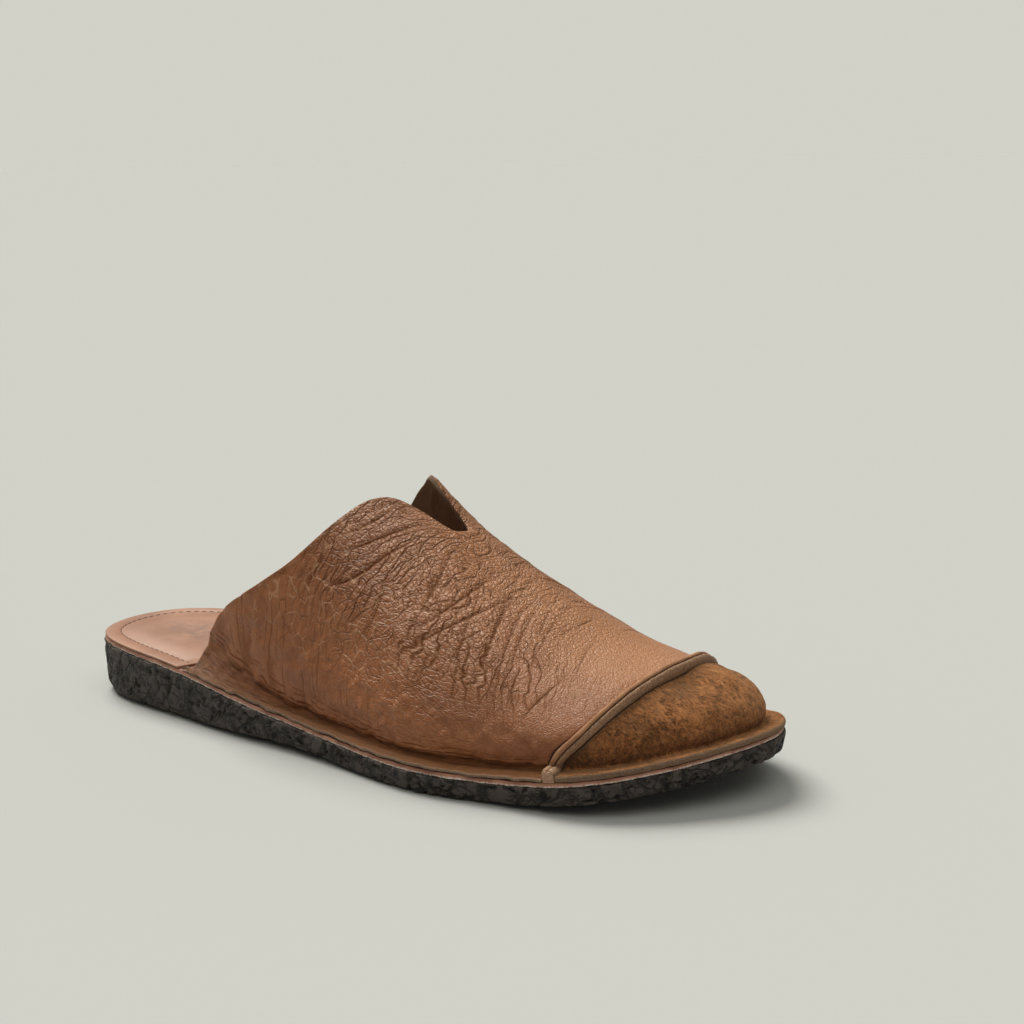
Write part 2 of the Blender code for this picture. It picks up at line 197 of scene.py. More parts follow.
def layer(name, rings, fields=None, rungs=26):
    """A sole layer: side rings, low to high, closed above and below by rungs."""
    size = len(rings[0])
    half = size // 2
    points = list(rings)
    fields = {key: np.reshape(v, (len(rings), size)) for key, v in (fields or {}).items()}
    extra = {key: [] for key in fields}
    faces = []
    for level in range(len(rings) - 1):
        base = level * size
        for j in range(size):
            k = (j + 1) % size
            faces.append((base + j, base + k, base + size + k, base + size + j))
    count = len(rings) * size
    for level, flip in ((0, True), (len(rings) - 1, False)):
        ring = rings[level]
        ids = {}
        for j in range(half + 1):
            far = (size - j) % size
            for m in range(rungs + 1):
                if m == 0 or j in (0, half):
                    ids[j, m] = level * size + j
                elif m == rungs:
                    ids[j, m] = level * size + far
                else:
                    t = m / rungs
                    points.append((ring[j] * (1 - t) + ring[far] * t)[None])
                    ids[j, m] = count
                    count += 1
                    for key, values in fields.items():
                        extra[key].append(values[level, j])
        for j in range(half):
            for m in range(rungs):
                quad = (ids[j, m], ids[j + 1, m], ids[j + 1, m + 1], ids[j, m + 1])
                corners = tuple(dict.fromkeys(quad))
                if len(corners) > 2:
                    faces.append(corners[::-1] if flip else corners)
    named = {key: np.concatenate([v.ravel(), extra[key]]) for key, v in fields.items()}
    return mesh_piece(name, np.vstack(points), faces, named)


def fitted(obj, node):
    """The piece stands for a CAD node and rides with the shoe."""
    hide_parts(node)
    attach(obj, "root")
    return obj


def new_material(name):
    material = bpy.data.materials.new(name)
    material.use_nodes = True
    tree = material.node_tree
    tree.nodes.clear()
    out = tree.nodes.new("ShaderNodeOutputMaterial")
    shader = tree.nodes.new("ShaderNodeBsdfPrincipled")
    tree.links.new(shader.outputs[0], out.inputs["Surface"])
    return material, tree, shader


def add(tree, kind, values=None, **settings):
    """A node with its settings, and inputs given as values or as links."""
    node = tree.nodes.new(kind)
    for key, value in settings.items():
        setattr(node, key, value)
    for key, value in (values or {}).items():
        if isinstance(value, bpy.types.NodeSocket):
            tree.links.new(value, node.inputs[key])
        else:
            node.inputs[key].default_value = value
    return node


def calc(tree, operation, a, b=0.0, c=0.0, clamp=False):
    node = add(tree, "ShaderNodeMath", {0: a, 1: b, 2: c}, operation=operation, use_clamp=clamp)
    return node.outputs[0]


def step(tree, value, low, high, out_low=0.0, out_high=1.0):
    """A smooth step of a value from low to high."""
    node = add(
        tree, "ShaderNodeMapRange",
        {"Value": value, "From Min": low, "From Max": high, "To Min": out_low, "To Max": out_high},
        interpolation_type="SMOOTHSTEP",
    )
    return node.outputs[0]


def blend(tree, factor, a, b, how="MIX"):
    node = add(tree, "ShaderNodeMix", data_type="RGBA", blend_type=how)
    for key, value in ((0, factor), (6, a), (7, b)):
        if isinstance(value, bpy.types.NodeSocket):
            tree.links.new(value, node.inputs[key])
        elif key == 0:
            node.inputs[key].default_value = value
        else:
            node.inputs[key].default_value = (*value, 1.0) if len(value) == 3 else value
    return node.outputs[2]


def scaled(tree, vector, scale, offset=(0.0, 0.0, 0.0)):
    node = add(tree, "ShaderNodeMapping", {"Vector": vector, "Location": offset, "Scale": scale})
    return node.outputs[0]


def cloud(tree, vector, scale, detail=2.0, rough=0.5):
    node = add(
        tree, "ShaderNodeTexNoise",
        {"Vector": vector, "Scale": scale, "Detail": detail, "Roughness": rough},
    )
    return node.outputs["Fac"]


def cells(tree, vector, scale=1.0, random=1.0):
    """Distance to the nearest cell edge: 0 on an edge."""
    node = add(
        tree, "ShaderNodeTexVoronoi",
        {"Vector": vector, "Scale": scale, "Randomness": random}, feature="DISTANCE_TO_EDGE",
    )
    return node.outputs["Distance"]


def millimetres(tree):
    """Object position in millimetres."""
    place = add(tree, "ShaderNodeTexCoord")
    return scaled(tree, place.outputs["Object"], (1000.0, 1000.0, 1000.0))


def bump(tree, height, distance_mm, strength=1.0, normal=None):
    values = {"Height": height, "Distance": distance_mm * 0.001, "Strength": strength}
    if normal is not None:
        values["Normal"] = normal
    return add(tree, "ShaderNodeBump", values).outputs[0]


def effect(name, inputs, outputs):
    """An empty node group with named sockets, and the sockets that it is given."""
    group = bpy.data.node_groups.new(name, "ShaderNodeTree")
    for way, sockets in (("INPUT", inputs), ("OUTPUT", outputs)):
        for label, kind in sockets:
            group.interface.new_socket(name=label, in_out=way, socket_type="NodeSocket" + kind)
    return group, add(group, "NodeGroupInput").outputs


def wander_effect():
    """Moves a place about by noise, so that cracks and grain run crooked."""
    group, given = effect(
        "wandering_place",
        (("Place", "Vector"), ("Scale", "Float"), ("Amount", "Float")),
        (("Moved", "Vector"),),
    )
    wobble = add(
        group, "ShaderNodeTexNoise",
        {"Vector": given["Place"], "Scale": given["Scale"], "Detail": 2.0},
    )
    centred = add(
        group, "ShaderNodeVectorMath", {0: wobble.outputs["Color"], 1: (0.5, 0.5, 0.5)},
        operation="SUBTRACT",
    )
    sized = add(
        group, "ShaderNodeVectorMath", {0: centred.outputs[0], "Scale": given["Amount"]},
        operation="SCALE",
    )
    moved = add(
        group, "ShaderNodeVectorMath", {0: given["Place"], 1: sized.outputs[0]},
        operation="ADD",
    )
    add(group, "NodeGroupOutput", {"Moved": moved.outputs[0]})
    return group


WANDER = wander_effect()


def warped(tree, place, scale, amount):
    values = {"Place": place, "Scale": scale, "Amount": amount}
    return add(tree, "ShaderNodeGroup", values, node_tree=WANDER).outputs["Moved"]


def crepe_material():
    material, tree, shader = new_material("crepe_rubber")
    place = millimetres(tree)
    bent = warped(tree, warped(tree, place, 0.09, 8.0), 0.32, 2.6)
    crack = step(tree, cells(tree, scaled(tree, bent, (0.13, 0.13, 0.19))), 0.0, 0.12, 1.0, 0.0)
    crack = calc(tree, "MULTIPLY", crack, step(tree, cloud(tree, place, 0.13, 2.0), 0.36, 0.46))
    lines = cells(tree, scaled(tree, bent, (0.34, 0.34, 0.46), (4.0, 2.0, 7.0)))
    lines = step(tree, lines, 0.0, 0.14, 1.0, 0.0)
    lines = calc(tree, "MULTIPLY", lines, step(tree, cloud(tree, place, 0.20, 2.0), 0.46, 0.56))
    grit = cloud(tree, place, 1.7, 4.0, 0.7)
    tone = cloud(tree, place, 0.16, 3.0)
    base = blend(tree, step(tree, tone, 0.35, 0.7), CREPE_DARK, CREPE_PALE)
    base = blend(tree, step(tree, grit, 0.55, 0.8, 0.0, 0.35), base, CREPE_GRIT)
    # Painted shade: the cracks and fine lines are grooves in the bump, and are also darkened
    # nearly to black.
    dark = calc(tree, "MAXIMUM", crack, calc(tree, "MULTIPLY", lines, 0.7))
    base = blend(tree, calc(tree, "MULTIPLY", dark, 0.92), base, CREPE_CRACK_SHADE)
    tree.links.new(base, shader.inputs["Base Color"])
    tree.links.new(calc(tree, "MULTIPLY_ADD", grit, 0.25, 0.55), shader.inputs["Roughness"])
    height = calc(tree, "MULTIPLY_ADD", crack, -1.5, calc(tree, "MULTIPLY", lines, -0.9))
    height = calc(tree, "MULTIPLY_ADD", tone, 0.8, calc(tree, "MULTIPLY_ADD", grit, 0.25, height))
    tree.links.new(bump(tree, height, 0.8, 0.9), shader.inputs["Normal"])
    return material


def build_outsole():
    rings = []
    for level, inset, _ in CREPE_SIDE:
        ring = outline_ring(330, inset)
        low = rubber_bottom(ring[:, 0])
        high = rubber_top(ring[:, 0])
        rings.append(with_height(ring, low + (high - low) * level))
    side = np.array(rings)
    middle = side[CREPE_MIDDLE_ROW]
    run = np.roll(middle, -1, axis=0) - np.roll(middle, 1, axis=0)
    out = unit(np.column_stack([run[:, 1], -run[:, 0], 0 * run[:, 0]]))
    if np.sum(out * (middle - middle.mean(axis=0))) < 0:
        out = -out
    bent = side + np.stack([lumps(side, 0.09, seed, 2) for seed in (1.0, 4.0, 8.0)], axis=-1) * 5.0
    fold = np.abs(lumps(bent, 0.13, 6.6, 2))
    small_fold = np.abs(lumps(bent, 0.30, 2.6, 1))
    push = 0.65 - 1.5 * np.exp(-((fold / 0.06) ** 2)) - 0.4 * np.exp(-((small_fold / 0.08) ** 2))
    push = push + lumps(side, 0.16, 3.3, 2) * 0.6
    share = np.array([row[2] for row in CREPE_SIDE])[:, None]
    push = np.clip(push, -1.6, 0.75) * share - 0.4 * share
    side = side + out[None] * push[..., None]
    side[-2:, :, 2] += lumps(side[-1], 0.30, 5.0, 2)[None] * 0.22
    obj = layer("crepe_outsole", list(side), rungs=22)
    obj.data.materials.append(crepe_material())
    return fitted(obj, "outsole")


outsole = build_outsole()


# Midsole
# A thin layer of tan leather over the whole outline, glued to the rubber. Its
# cut edge is fibrous and wavy, with specks of glue low down.

MIDSOLE_THICK = 1.3
GAP = 0.3  # between curved pieces

# Edge of the midsole: height share and inset from the outline.
MIDSOLE_SIDE = (
    (0.00, 1.60), (0.00, 0.90), (0.15, 0.65), (0.35, 0.60),
    (0.60, 0.65), (0.85, 0.70), (1.00, 0.95), (1.00, 1.80),
)

TAN_DARK = (0.235, 0.088, 0.050)
TAN_PALE = (0.40, 0.180, 0.112)
TAN_FIBRE = (0.52, 0.33, 0.24)
TAN_GLUE = (0.82, 0.70, 0.63)
TAN_TOP_SHADE = (0.09, 0.04, 0.022)


def field(tree, name):
    return add(tree, "ShaderNodeAttribute", attribute_name=name)


def midsole_material():
    material, tree, shader = new_material("midsole_leather")
    place = millimetres(tree)
    fibre = cloud(tree, scaled(tree, place, (0.6, 0.6, 2.4)), 1.1, 4.0, 0.7)
    tone = cloud(tree, place, 0.10, 3.0)
    base = blend(tree, step(tree, tone, 0.35, 0.65), TAN_DARK, TAN_PALE)
    base = blend(tree, step(tree, fibre, 0.5, 0.8, 0.0, 0.5), base, TAN_FIBRE)
    level = field(tree, "level").outputs["Fac"]
    speck = cloud(tree, place, 1.3, 3.0, 0.8)
    low = step(tree, level, 0.15, 0.60, 1.0, 0.0)
    glue = calc(tree, "MULTIPLY", step(tree, speck, 0.42, 0.52), low)
    base = blend(tree, calc(tree, "MULTIPLY", glue, 0.92), base, TAN_GLUE)
    # Painted shade: the top of the edge, where the upper's flange and the insole lie on it, is
    # darkened.
    top = step(tree, level, 0.80, 1.0)
    base = blend(tree, calc(tree, "MULTIPLY", top, 0.45), base, TAN_TOP_SHADE)
    tree.links.new(base, shader.inputs["Base Color"])
    shader.inputs["Roughness"].default_value = 0.72
    height = calc(tree, "MULTIPLY_ADD", fibre, 0.7, calc(tree, "MULTIPLY", speck, 0.5))
    tree.links.new(bump(tree, height, 0.35, 0.9), shader.inputs["Normal"])
    return material


def build_midsole():
    rings = []
    levels = []
    for level, inset in MIDSOLE_SIDE:
        ring = outline_ring(300, inset)
        low = rubber_top(ring[:, 0]) + GAP * 0.3
        p = with_height(ring, low + (MIDSOLE_THICK + GAP) * level)
        p[:, 2] += lumps(p, 0.30, 1.1, 3) * 0.24
        p[:, 1] += lumps(p, 0.45, 6.1, 3) * 0.36 * np.sign(p[:, 1])
        rings.append(p)
        levels.append(np.full(len(ring), level))
    obj = layer("midsole_leather_edge", rings, {"level": np.array(levels)}, rungs=8)
    obj.data.materials.append(midsole_material())
    return fitted(obj, "midsole")


midsole = build_midsole()


# Insole
# A pale leather foot bed glued on the midsole: as wide as the shoe at the heel
# and inside the wall of the upper further forward. A shallow groove takes its
# thread, and the heel has rubbed a dull spot into it.

INSOLE_THICK = 0.8
LEATHER_THICK = 2.0
FLANGE_SETBACK = 0.7
INSOLE_ROWS = 420
# Rear end of the upper's flange.
UPPER_START = 0.236 * SOLE_LENGTH

# From the edge in to the far side of the thread groove: height share and inset.
INSOLE_SIDE = (
    (0.00, 0.20), (0.20, 0.00), (0.70, 0.00), (0.93, 0.15), (1.00, 0.50),
    (1.00, 5.60), (0.86, 5.80), (0.86, 6.20), (1.00, 6.40),
)
GROOVE_INSET = 5.0
BED_INSET = 18.5

BED_DARK = (0.250, 0.104, 0.058)
BED_PALE = (0.360, 0.170, 0.104)
BED_WORN = (0.125, 0.060, 0.040)
BED_FLECK = (0.23, 0.115, 0.070)
BED_SIDE = (0.20, 0.10, 0.06)
WORN_PLACE = (-103.0, 2.0, 0.0)
WORN_SIZE = (1 / 26.0, 1 / 17.0, 0.0)


def soft(x, low, high):
    t = np.clip((x - low) / (high - low), 0, 1)
    return t * t * (3 - 2 * t)


def insole_material():
    material, tree, shader = new_material("insole_leather")
    place = millimetres(tree)
    tone = cloud(tree, place, 0.035, 4.0, 0.6)
    fine = cloud(tree, place, 1.6, 4.0, 0.7)
    base = blend(tree, step(tree, tone, 0.3, 0.7), BED_DARK, BED_PALE)
    flat = scaled(tree, place, (1.0, 1.0, 0.0))
    spot = add(tree, "ShaderNodeVectorMath", {0: flat, 1: WORN_PLACE}, operation="SUBTRACT")
    spot = scaled(tree, spot.outputs[0], WORN_SIZE)
    reach = add(tree, "ShaderNodeVectorMath", {0: spot}, operation="LENGTH").outputs["Value"]
    rubbed = step(tree, cloud(tree, place, 0.22, 5.0, 0.75), 0.34, 0.62)
    smudge = calc(tree, "MULTIPLY", step(tree, reach, 0.3, 1.0, 1.0, 0.0), rubbed)
    base = blend(tree, calc(tree, "MULTIPLY", smudge, 0.60), base, BED_WORN)
    base = blend(tree, step(tree, fine, 0.45, 0.75, 0.0, 0.35), base, BED_FLECK)
    side = step(tree, field(tree, "level").outputs["Fac"], 0.0, 0.9, 1.0, 0.0)
    base = blend(tree, calc(tree, "MULTIPLY", side, 0.5), base, BED_SIDE)
    tree.links.new(base, shader.inputs["Base Color"])
    tree.links.new(calc(tree, "MULTIPLY_ADD", tone, 0.2, 0.42), shader.inputs["Roughness"])
    height = calc(tree, "MULTIPLY_ADD", fine, 0.35, tone)
    tree.links.new(bump(tree, height, 0.35, 0.6), shader.inputs["Normal"])
    return material


def insole_inset(extra):
    """Full outline behind the upper, then in to the inside of its wall."""
    back = UPPER_START - 3.4
    inside = FLANGE_WIDTH + LEATHER_THICK + 0.4
    return lambda x: FLANGE_SETBACK + extra + inside * soft(x, back, back + 0.6)


def bed_height(x):
    """Underside of the insole at station x."""
    return rubber_top(x) + MIDSOLE_THICK + 1.5 * GAP


def build_insole():
    rings = []
    levels = []
    groove_end = UPPER_START - 5.0
    for level, extra in INSOLE_SIDE:
        ring = outline_ring(INSOLE_ROWS, insole_inset(extra))
        full = level
        if extra > GROOVE_INSET:
            full = level + (1 - level) * soft(ring[:, 0], groove_end - 3.0, groove_end)
        height = (INSOLE_THICK + GAP * 0.5) * full
        rings.append(with_height(ring, bed_height(ring[:, 0]) + height))
        edge = 0.0 if extra < 0.1 else min(level * 1.2, 1.0)
        levels.append(np.full(len(ring), edge if extra <= GROOVE_INSET else 1.0))
    ring = outline_ring(INSOLE_ROWS, FLANGE_SETBACK + BED_INSET)
    rings.append(with_height(ring, bed_height(ring[:, 0]) + INSOLE_THICK + GAP * 0.5))
    levels.append(np.ones(len(ring)))
    obj = layer("insole_leather_bed", rings, {"level": np.array(levels)}, rungs=16)
    obj.data.materials.append(insole_material())
    return fitted(obj, "insole")


insole = build_insole()


# Upper
# One piece of thick shrunken-grain leather, unlined: the wall over the foot, a
# flange turned out at its foot and stitched down on the midsole, and a notch at
# the instep. It is wrinkled over the instep and smoother to the toe. Painted
# light pales its crest and front, and painted shade darkens its creases, the
# groove at the foot of the wall and a little of the lower wall.

INSTEP_HEIGHT = 88.0
TOE_LAG = 9.0
WALL_BULGE = 2.4
SECTION_POWER = 2.2
SEAM_MEDIAL_SHIFT = 0.008
LIP_LIFT = 6.0
WALL_GIRTH = 95.0  # feather line to crown, near the instep
SEAM_CLEAR = 2.3 + GAP  # from the seam's middle to the edge of a neighbour
X_TIP = float(FEATHER[TIP, 0])

# Along the shoe, by share of SOLE_LENGTH: height of the crown in shares of
# INSTEP_HEIGHT, radius of the bend from wall to flange in mm, and how far the
# crown lies to the medial side in shares of BALL_WIDTH.
CROWN = (
    (0.210, 1.480), (0.421, 1.160), (0.509, 1.003), (0.586, 0.848),
    (0.667, 0.693), (0.737, 0.590), (0.800, 0.510), (0.860, 0.456),
    (0.905, 0.433), (0.940, 0.417), (1.000, 0.385),
)
FOOT_BEND = ((0.22, 7.0), (0.30, 5.6), (0.40, 3.6), (0.52, 2.2), (1.00, 1.9))
CROWN_SIDE = ((0.21, 0.04), (0.51, 0.05), (0.74, 0.06), (0.94, 0.105), (1.00, 0.12))
# Rear edges and seam, from the foot of the wall (0) to the crown (1), in shares
# of SOLE_LENGTH.
TOPLINE = (
    (0.000, 0.269), (0.029, 0.277), (0.083, 0.296), (0.155, 0.330),
    (0.252, 0.375), (0.360, 0.417), (0.455, 0.442), (0.615, 0.471),
    (0.705, 0.483), (0.777, 0.495), (0.828, 0.507), (0.868, 0.526),
    (0.895, 0.550), (0.917, 0.571), (0.940, 0.581), (1.000, 0.586),
)
TOPLINE_MEDIAL = (
    (0.000, 0.269), (0.029, 0.277), (0.083, 0.296), (0.155, 0.330),
    (0.252, 0.375), (0.360, 0.415), (0.455, 0.440), (0.610, 0.473),
    (0.695, 0.490), (0.780, 0.503), (0.860, 0.515), (0.920, 0.537),
    (0.960, 0.569), (0.980, 0.581), (1.000, 0.586),
)
SEAM = (
    (0.000, 0.822), (0.050, 0.826), (0.160, 0.843), (0.340, 0.860),
    (0.550, 0.876), (0.780, 0.893), (1.000, 0.903),
)

# Creases worked into the leather. Columns: three stations as shares of
# SOLE_LENGTH, three places up the lateral section (above 1 goes over to the
# medial side), depth in mm and width in mm.
CREASES = (
    (0.576, 0.523, 0.465, 0.88, 0.48, 0.36, 0.55, 1.0),
    (0.566, 0.530, 0.480, 0.95, 0.66, 0.47, 0.40, 0.9),
    (0.518, 0.504, 0.475, 0.80, 0.65, 0.53, 0.35, 0.9),
    (0.649, 0.645, 0.618, 0.95, 0.65, 0.41, 0.60, 1.0),
    (0.586, 0.612, 0.611, 0.97, 0.65, 0.37, 0.50, 1.0),
    (0.627, 0.668, 0.677, 0.98, 0.62, 0.36, 0.40, 0.9),
    (0.653, 0.697, 0.711, 1.09, 0.65, 0.29, 0.50, 1.0),
    (0.692, 0.722, 0.740, 1.00, 0.58, 0.23, 0.50, 1.0),
    (0.715, 0.733, 0.747, 0.99, 0.82, 0.66, 0.35, 0.9),
    (0.680, 0.672, 0.600, 1.03, 0.66, 0.26, 0.60, 1.0),
    (0.665, 0.695, 0.716, 1.21, 0.72, 0.40, 0.45, 0.9),
    (0.700, 0.727, 0.752, 1.11, 0.68, 0.32, 0.45, 0.9),
    (0.723, 0.748, 0.767, 1.15, 0.75, 0.40, 0.40, 0.9),
    (0.762, 0.761, 0.758, 1.08, 0.92, 0.74, 0.30, 0.8),
    (0.632, 0.653, 0.675, 0.86, 0.68, 0.51, 0.35, 0.8),
    (0.675, 0.685, 0.690, 0.51, 0.35, 0.17, 0.35, 0.9),
    (0.545, 0.560, 0.540, 0.60, 0.42, 0.20, 0.30, 0.9),
    (0.470, 0.455, 0.430, 0.55, 0.38, 0.24, 0.30, 0.9),
    (0.790, 0.800, 0.820, 0.95, 0.72, 0.50, 0.25, 0.8),
    (0.800, 0.788, 0.772, 0.55, 0.38, 0.20, 0.25, 0.9),
)

HIDE_DARK = (0.218, 0.064, 0.0165)
HIDE_PALE = (0.305, 0.101, 0.0285)
CROWN_PAINTED_LIGHT = (0.385, 0.160, 0.067)
PLATE_SHADE = (0.085, 0.023, 0.006)
FLANGE_DARK = (0.085, 0.028, 0.008)
FLANGE_GOLD = (0.300, 0.120, 0.034)
MOTTLE_PALE = (0.40, 0.165, 0.064)
MOTTLE_DARK = (0.105, 0.031, 0.009)
GRAIN_LINE_AND_SHADE = (0.056, 0.017, 0.006)
LINE_PALE = (0.50, 0.27, 0.155)
RAW_DARK = (0.16, 0.088, 0.052)
RAW_PALE = (0.43, 0.29, 0.20)
RAW_PLY = (0.055, 0.028, 0.016)
FLESH_DARK = (0.090, 0.042, 0.021)
FLESH_PALE = (0.250, 0.130, 0.070)


def table(rows, scale_in, scale_out, level_end=False):
    """A smooth curve through a short table, never overshooting its rows."""
    xs = np.array([r[0] for r in rows]) * scale_in
    ys = np.array([r[1] for r in rows]) * scale_out
    h = np.diff(xs)
    slope = np.diff(ys) / h
    d = np.zeros(len(xs))
    for i in range(1, len(xs) - 1):
        if slope[i - 1] * slope[i] > 0:
            w1 = 2 * h[i] + h[i - 1]
            w2 = h[i] + 2 * h[i - 1]
            d[i] = (w1 + w2) / (w1 / slope[i - 1] + w2 / slope[i])
    d[0] = slope[0]
    d[-1] = 0.0 if level_end else slope[-1]

    def curve(x):
        x = np.clip(np.asarray(x, float), xs[0], xs[-1])
        k = np.clip(np.searchsorted(xs, x, side="right") - 1, 0, len(h) - 1)
        t = (x - xs[k]) / h[k]
        a = (1 + 2 * t) * (1 - t) ** 2
        b = t * (1 - t) ** 2 * h[k]
        c = t * t * (3 - 2 * t)
        e = t * t * (t - 1) * h[k]
        return a * ys[k] + b * d[k] + c * ys[k + 1] + e * d[k + 1]

    return curve


crown_height = table(CROWN, SOLE_LENGTH, INSTEP_HEIGHT)
crown_side = table(CROWN_SIDE, SOLE_LENGTH, BALL_WIDTH)
foot_bend = table(FOOT_BEND, SOLE_LENGTH, 1.0)
topline_lateral = table(TOPLINE, 1.0, SOLE_LENGTH, level_end=True)
topline_medial = table(TOPLINE_MEDIAL, 1.0, SOLE_LENGTH, level_end=True)
seam_line = table(SEAM, 1.0, SOLE_LENGTH, level_end=True)


def flange_top(x):
    return rubber_top(x) + MIDSOLE_THICK + LEATHER_THICK + 2 * GAP


def foot(x, side):
    """Feather point and outward direction at station x, on one side."""
    index = LATERAL if side < 0 else MEDIAL
    xs = np.maximum.accumulate(FEATHER[index, 0])
    y = np.interp(x, xs, FEATHER[index, 1])
    nx = np.interp(x, xs, OUTWARD[index, 0])
    ny = np.interp(x, xs, OUTWARD[index, 1])
    size = np.hypot(nx, ny)
    return y, nx / size, ny / size


def topline(side, c):
    """Rear edge of the upper: station on column c of the shell."""
    edge = topline_lateral if side < 0 else topline_medial
    wall = edge(np.clip(np.asarray(c) - 2, 0, 1))
    return wall - (wall - UPPER_START) * np.clip(1 - np.asarray(c) / 2, 0, 1)


def skin(x, side, q):
    """Outer face of the upper: station x, place q up the section."""
    y, nx, ny = foot(x, side)
    lag = TOE_LAG * np.clip((x - 170) / (X_TIP - 170), 0, 1) ** 4
    top_x = x - lag
    top_y = crown_side(top_x)
    q = np.clip(q, 0, 1)
    inward = 1 - np.clip(np.cos(math.pi * q / 2), 0, 1) ** (2 / SECTION_POWER)
    upward = np.sin(math.pi * q / 2) ** (2 / SECTION_POWER)
    bulge = WALL_BULGE * np.sin(math.pi * np.clip(q / 0.7, 0, 1) ** 0.7)
    px = x + (top_x - x) * inward + nx * bulge
    py = y + (top_y - y) * inward + ny * bulge
    base = flange_top(x) * (1 - inward) + flange_top(top_x) * inward
    pz = base + (crown_height(px) - base) * upward
    if side > 0:
        near = np.clip((0.585 * SOLE_LENGTH - x) / (0.09 * SOLE_LENGTH), 0, 1)
        high = np.clip((q - 0.35) / 0.55, 0, 1)
        pz = pz + LIP_LIFT * near**2 * (3 - 2 * near) * high**2 * (3 - 2 * high)
    return np.stack([px, py, pz], axis=-1)


def shell(x, side, c):
    """Outer face with its flange.

    c runs 0 flange edge, 1 flange end, 2 wall foot, 3 crown.
    """
    x, c = np.broadcast_arrays(np.asarray(x, float), np.asarray(c, float))
    x = np.minimum(x, X_TIP)
    y, nx, ny = foot(x, side)
    edge = FLANGE_WIDTH - FLANGE_SETBACK

    def flat(out):
        return np.stack([x + nx * out, y + ny * out, flange_top(x + nx * out)], axis=-1)

    height = crown_height(x) - flange_top(x)
    bend = foot_bend(x)
    tall = np.interp(x / SOLE_LENGTH, (0.26, 0.40), (1.0, 0.0))
    rise = bend * (1 + 1.1 * tall)
    start = 2 / math.pi * np.arcsin(np.clip((rise / height) ** (SECTION_POWER / 2), 0, 1))
    on_flange = flat(edge + (bend - edge) * np.clip(c, 0, 1))
    t = np.clip(c - 1, 0, 1)[..., None]
    a = flat(bend)
    d = skin(x, side, start)
    b = flat(0 * x)
    b = b + ((a + d) / 2 - b) * (0.55 * tall)[..., None]
    on_bend = (1 - t) ** 2 * a + 2 * t * (1 - t) * b + t * t * d
    on_wall = skin(x, side, start + (1 - start) * np.clip(c - 2, 0, 1))
    c = c[..., None]
    return np.where(c <= 1, on_flange, np.where(c < 2, on_bend, on_wall))


def seam_station(side, c):
    s = np.clip(np.asarray(c, float) - 2, 0, 1)
    shift = SEAM_MEDIAL_SHIFT * SOLE_LENGTH * (1 - s) if side > 0 else 0.0
    return seam_line(s) + shift


def seam_points(count=241):
    cs = np.linspace(0, 3, count)
    left = shell(seam_station(-1, cs), -1, cs)
    right = shell(seam_station(1, cs), 1, cs)[::-1]
    return np.vstack([left, right])


SEAM_POINTS = seam_points()


def beside_seam(side, c, distance):
    """Stations on columns c whose points are this far from the seam line."""
    near = seam_station(side, c)
    way = math.copysign(1.0, distance)
    low = np.zeros(len(c))
    high = np.full(len(c), 4 * abs(distance))
    for _ in range(20):
        middle = (low + high) / 2
        point = shell(near + way * middle, side, c)
        reach = np.linalg.norm(SEAM_POINTS[None] - point[:, None], axis=2).min(axis=1)
        short = reach < abs(distance)
        low = np.where(short, middle, low)
        high = np.where(short, high, middle)
    return np.minimum(near + way * high, X_TIP)


def grid_normals(p):
    """Normals of a grid of points, rows along +X and columns up the lateral side."""
    return unit(np.cross(np.gradient(p, axis=0), np.gradient(p, axis=1)))


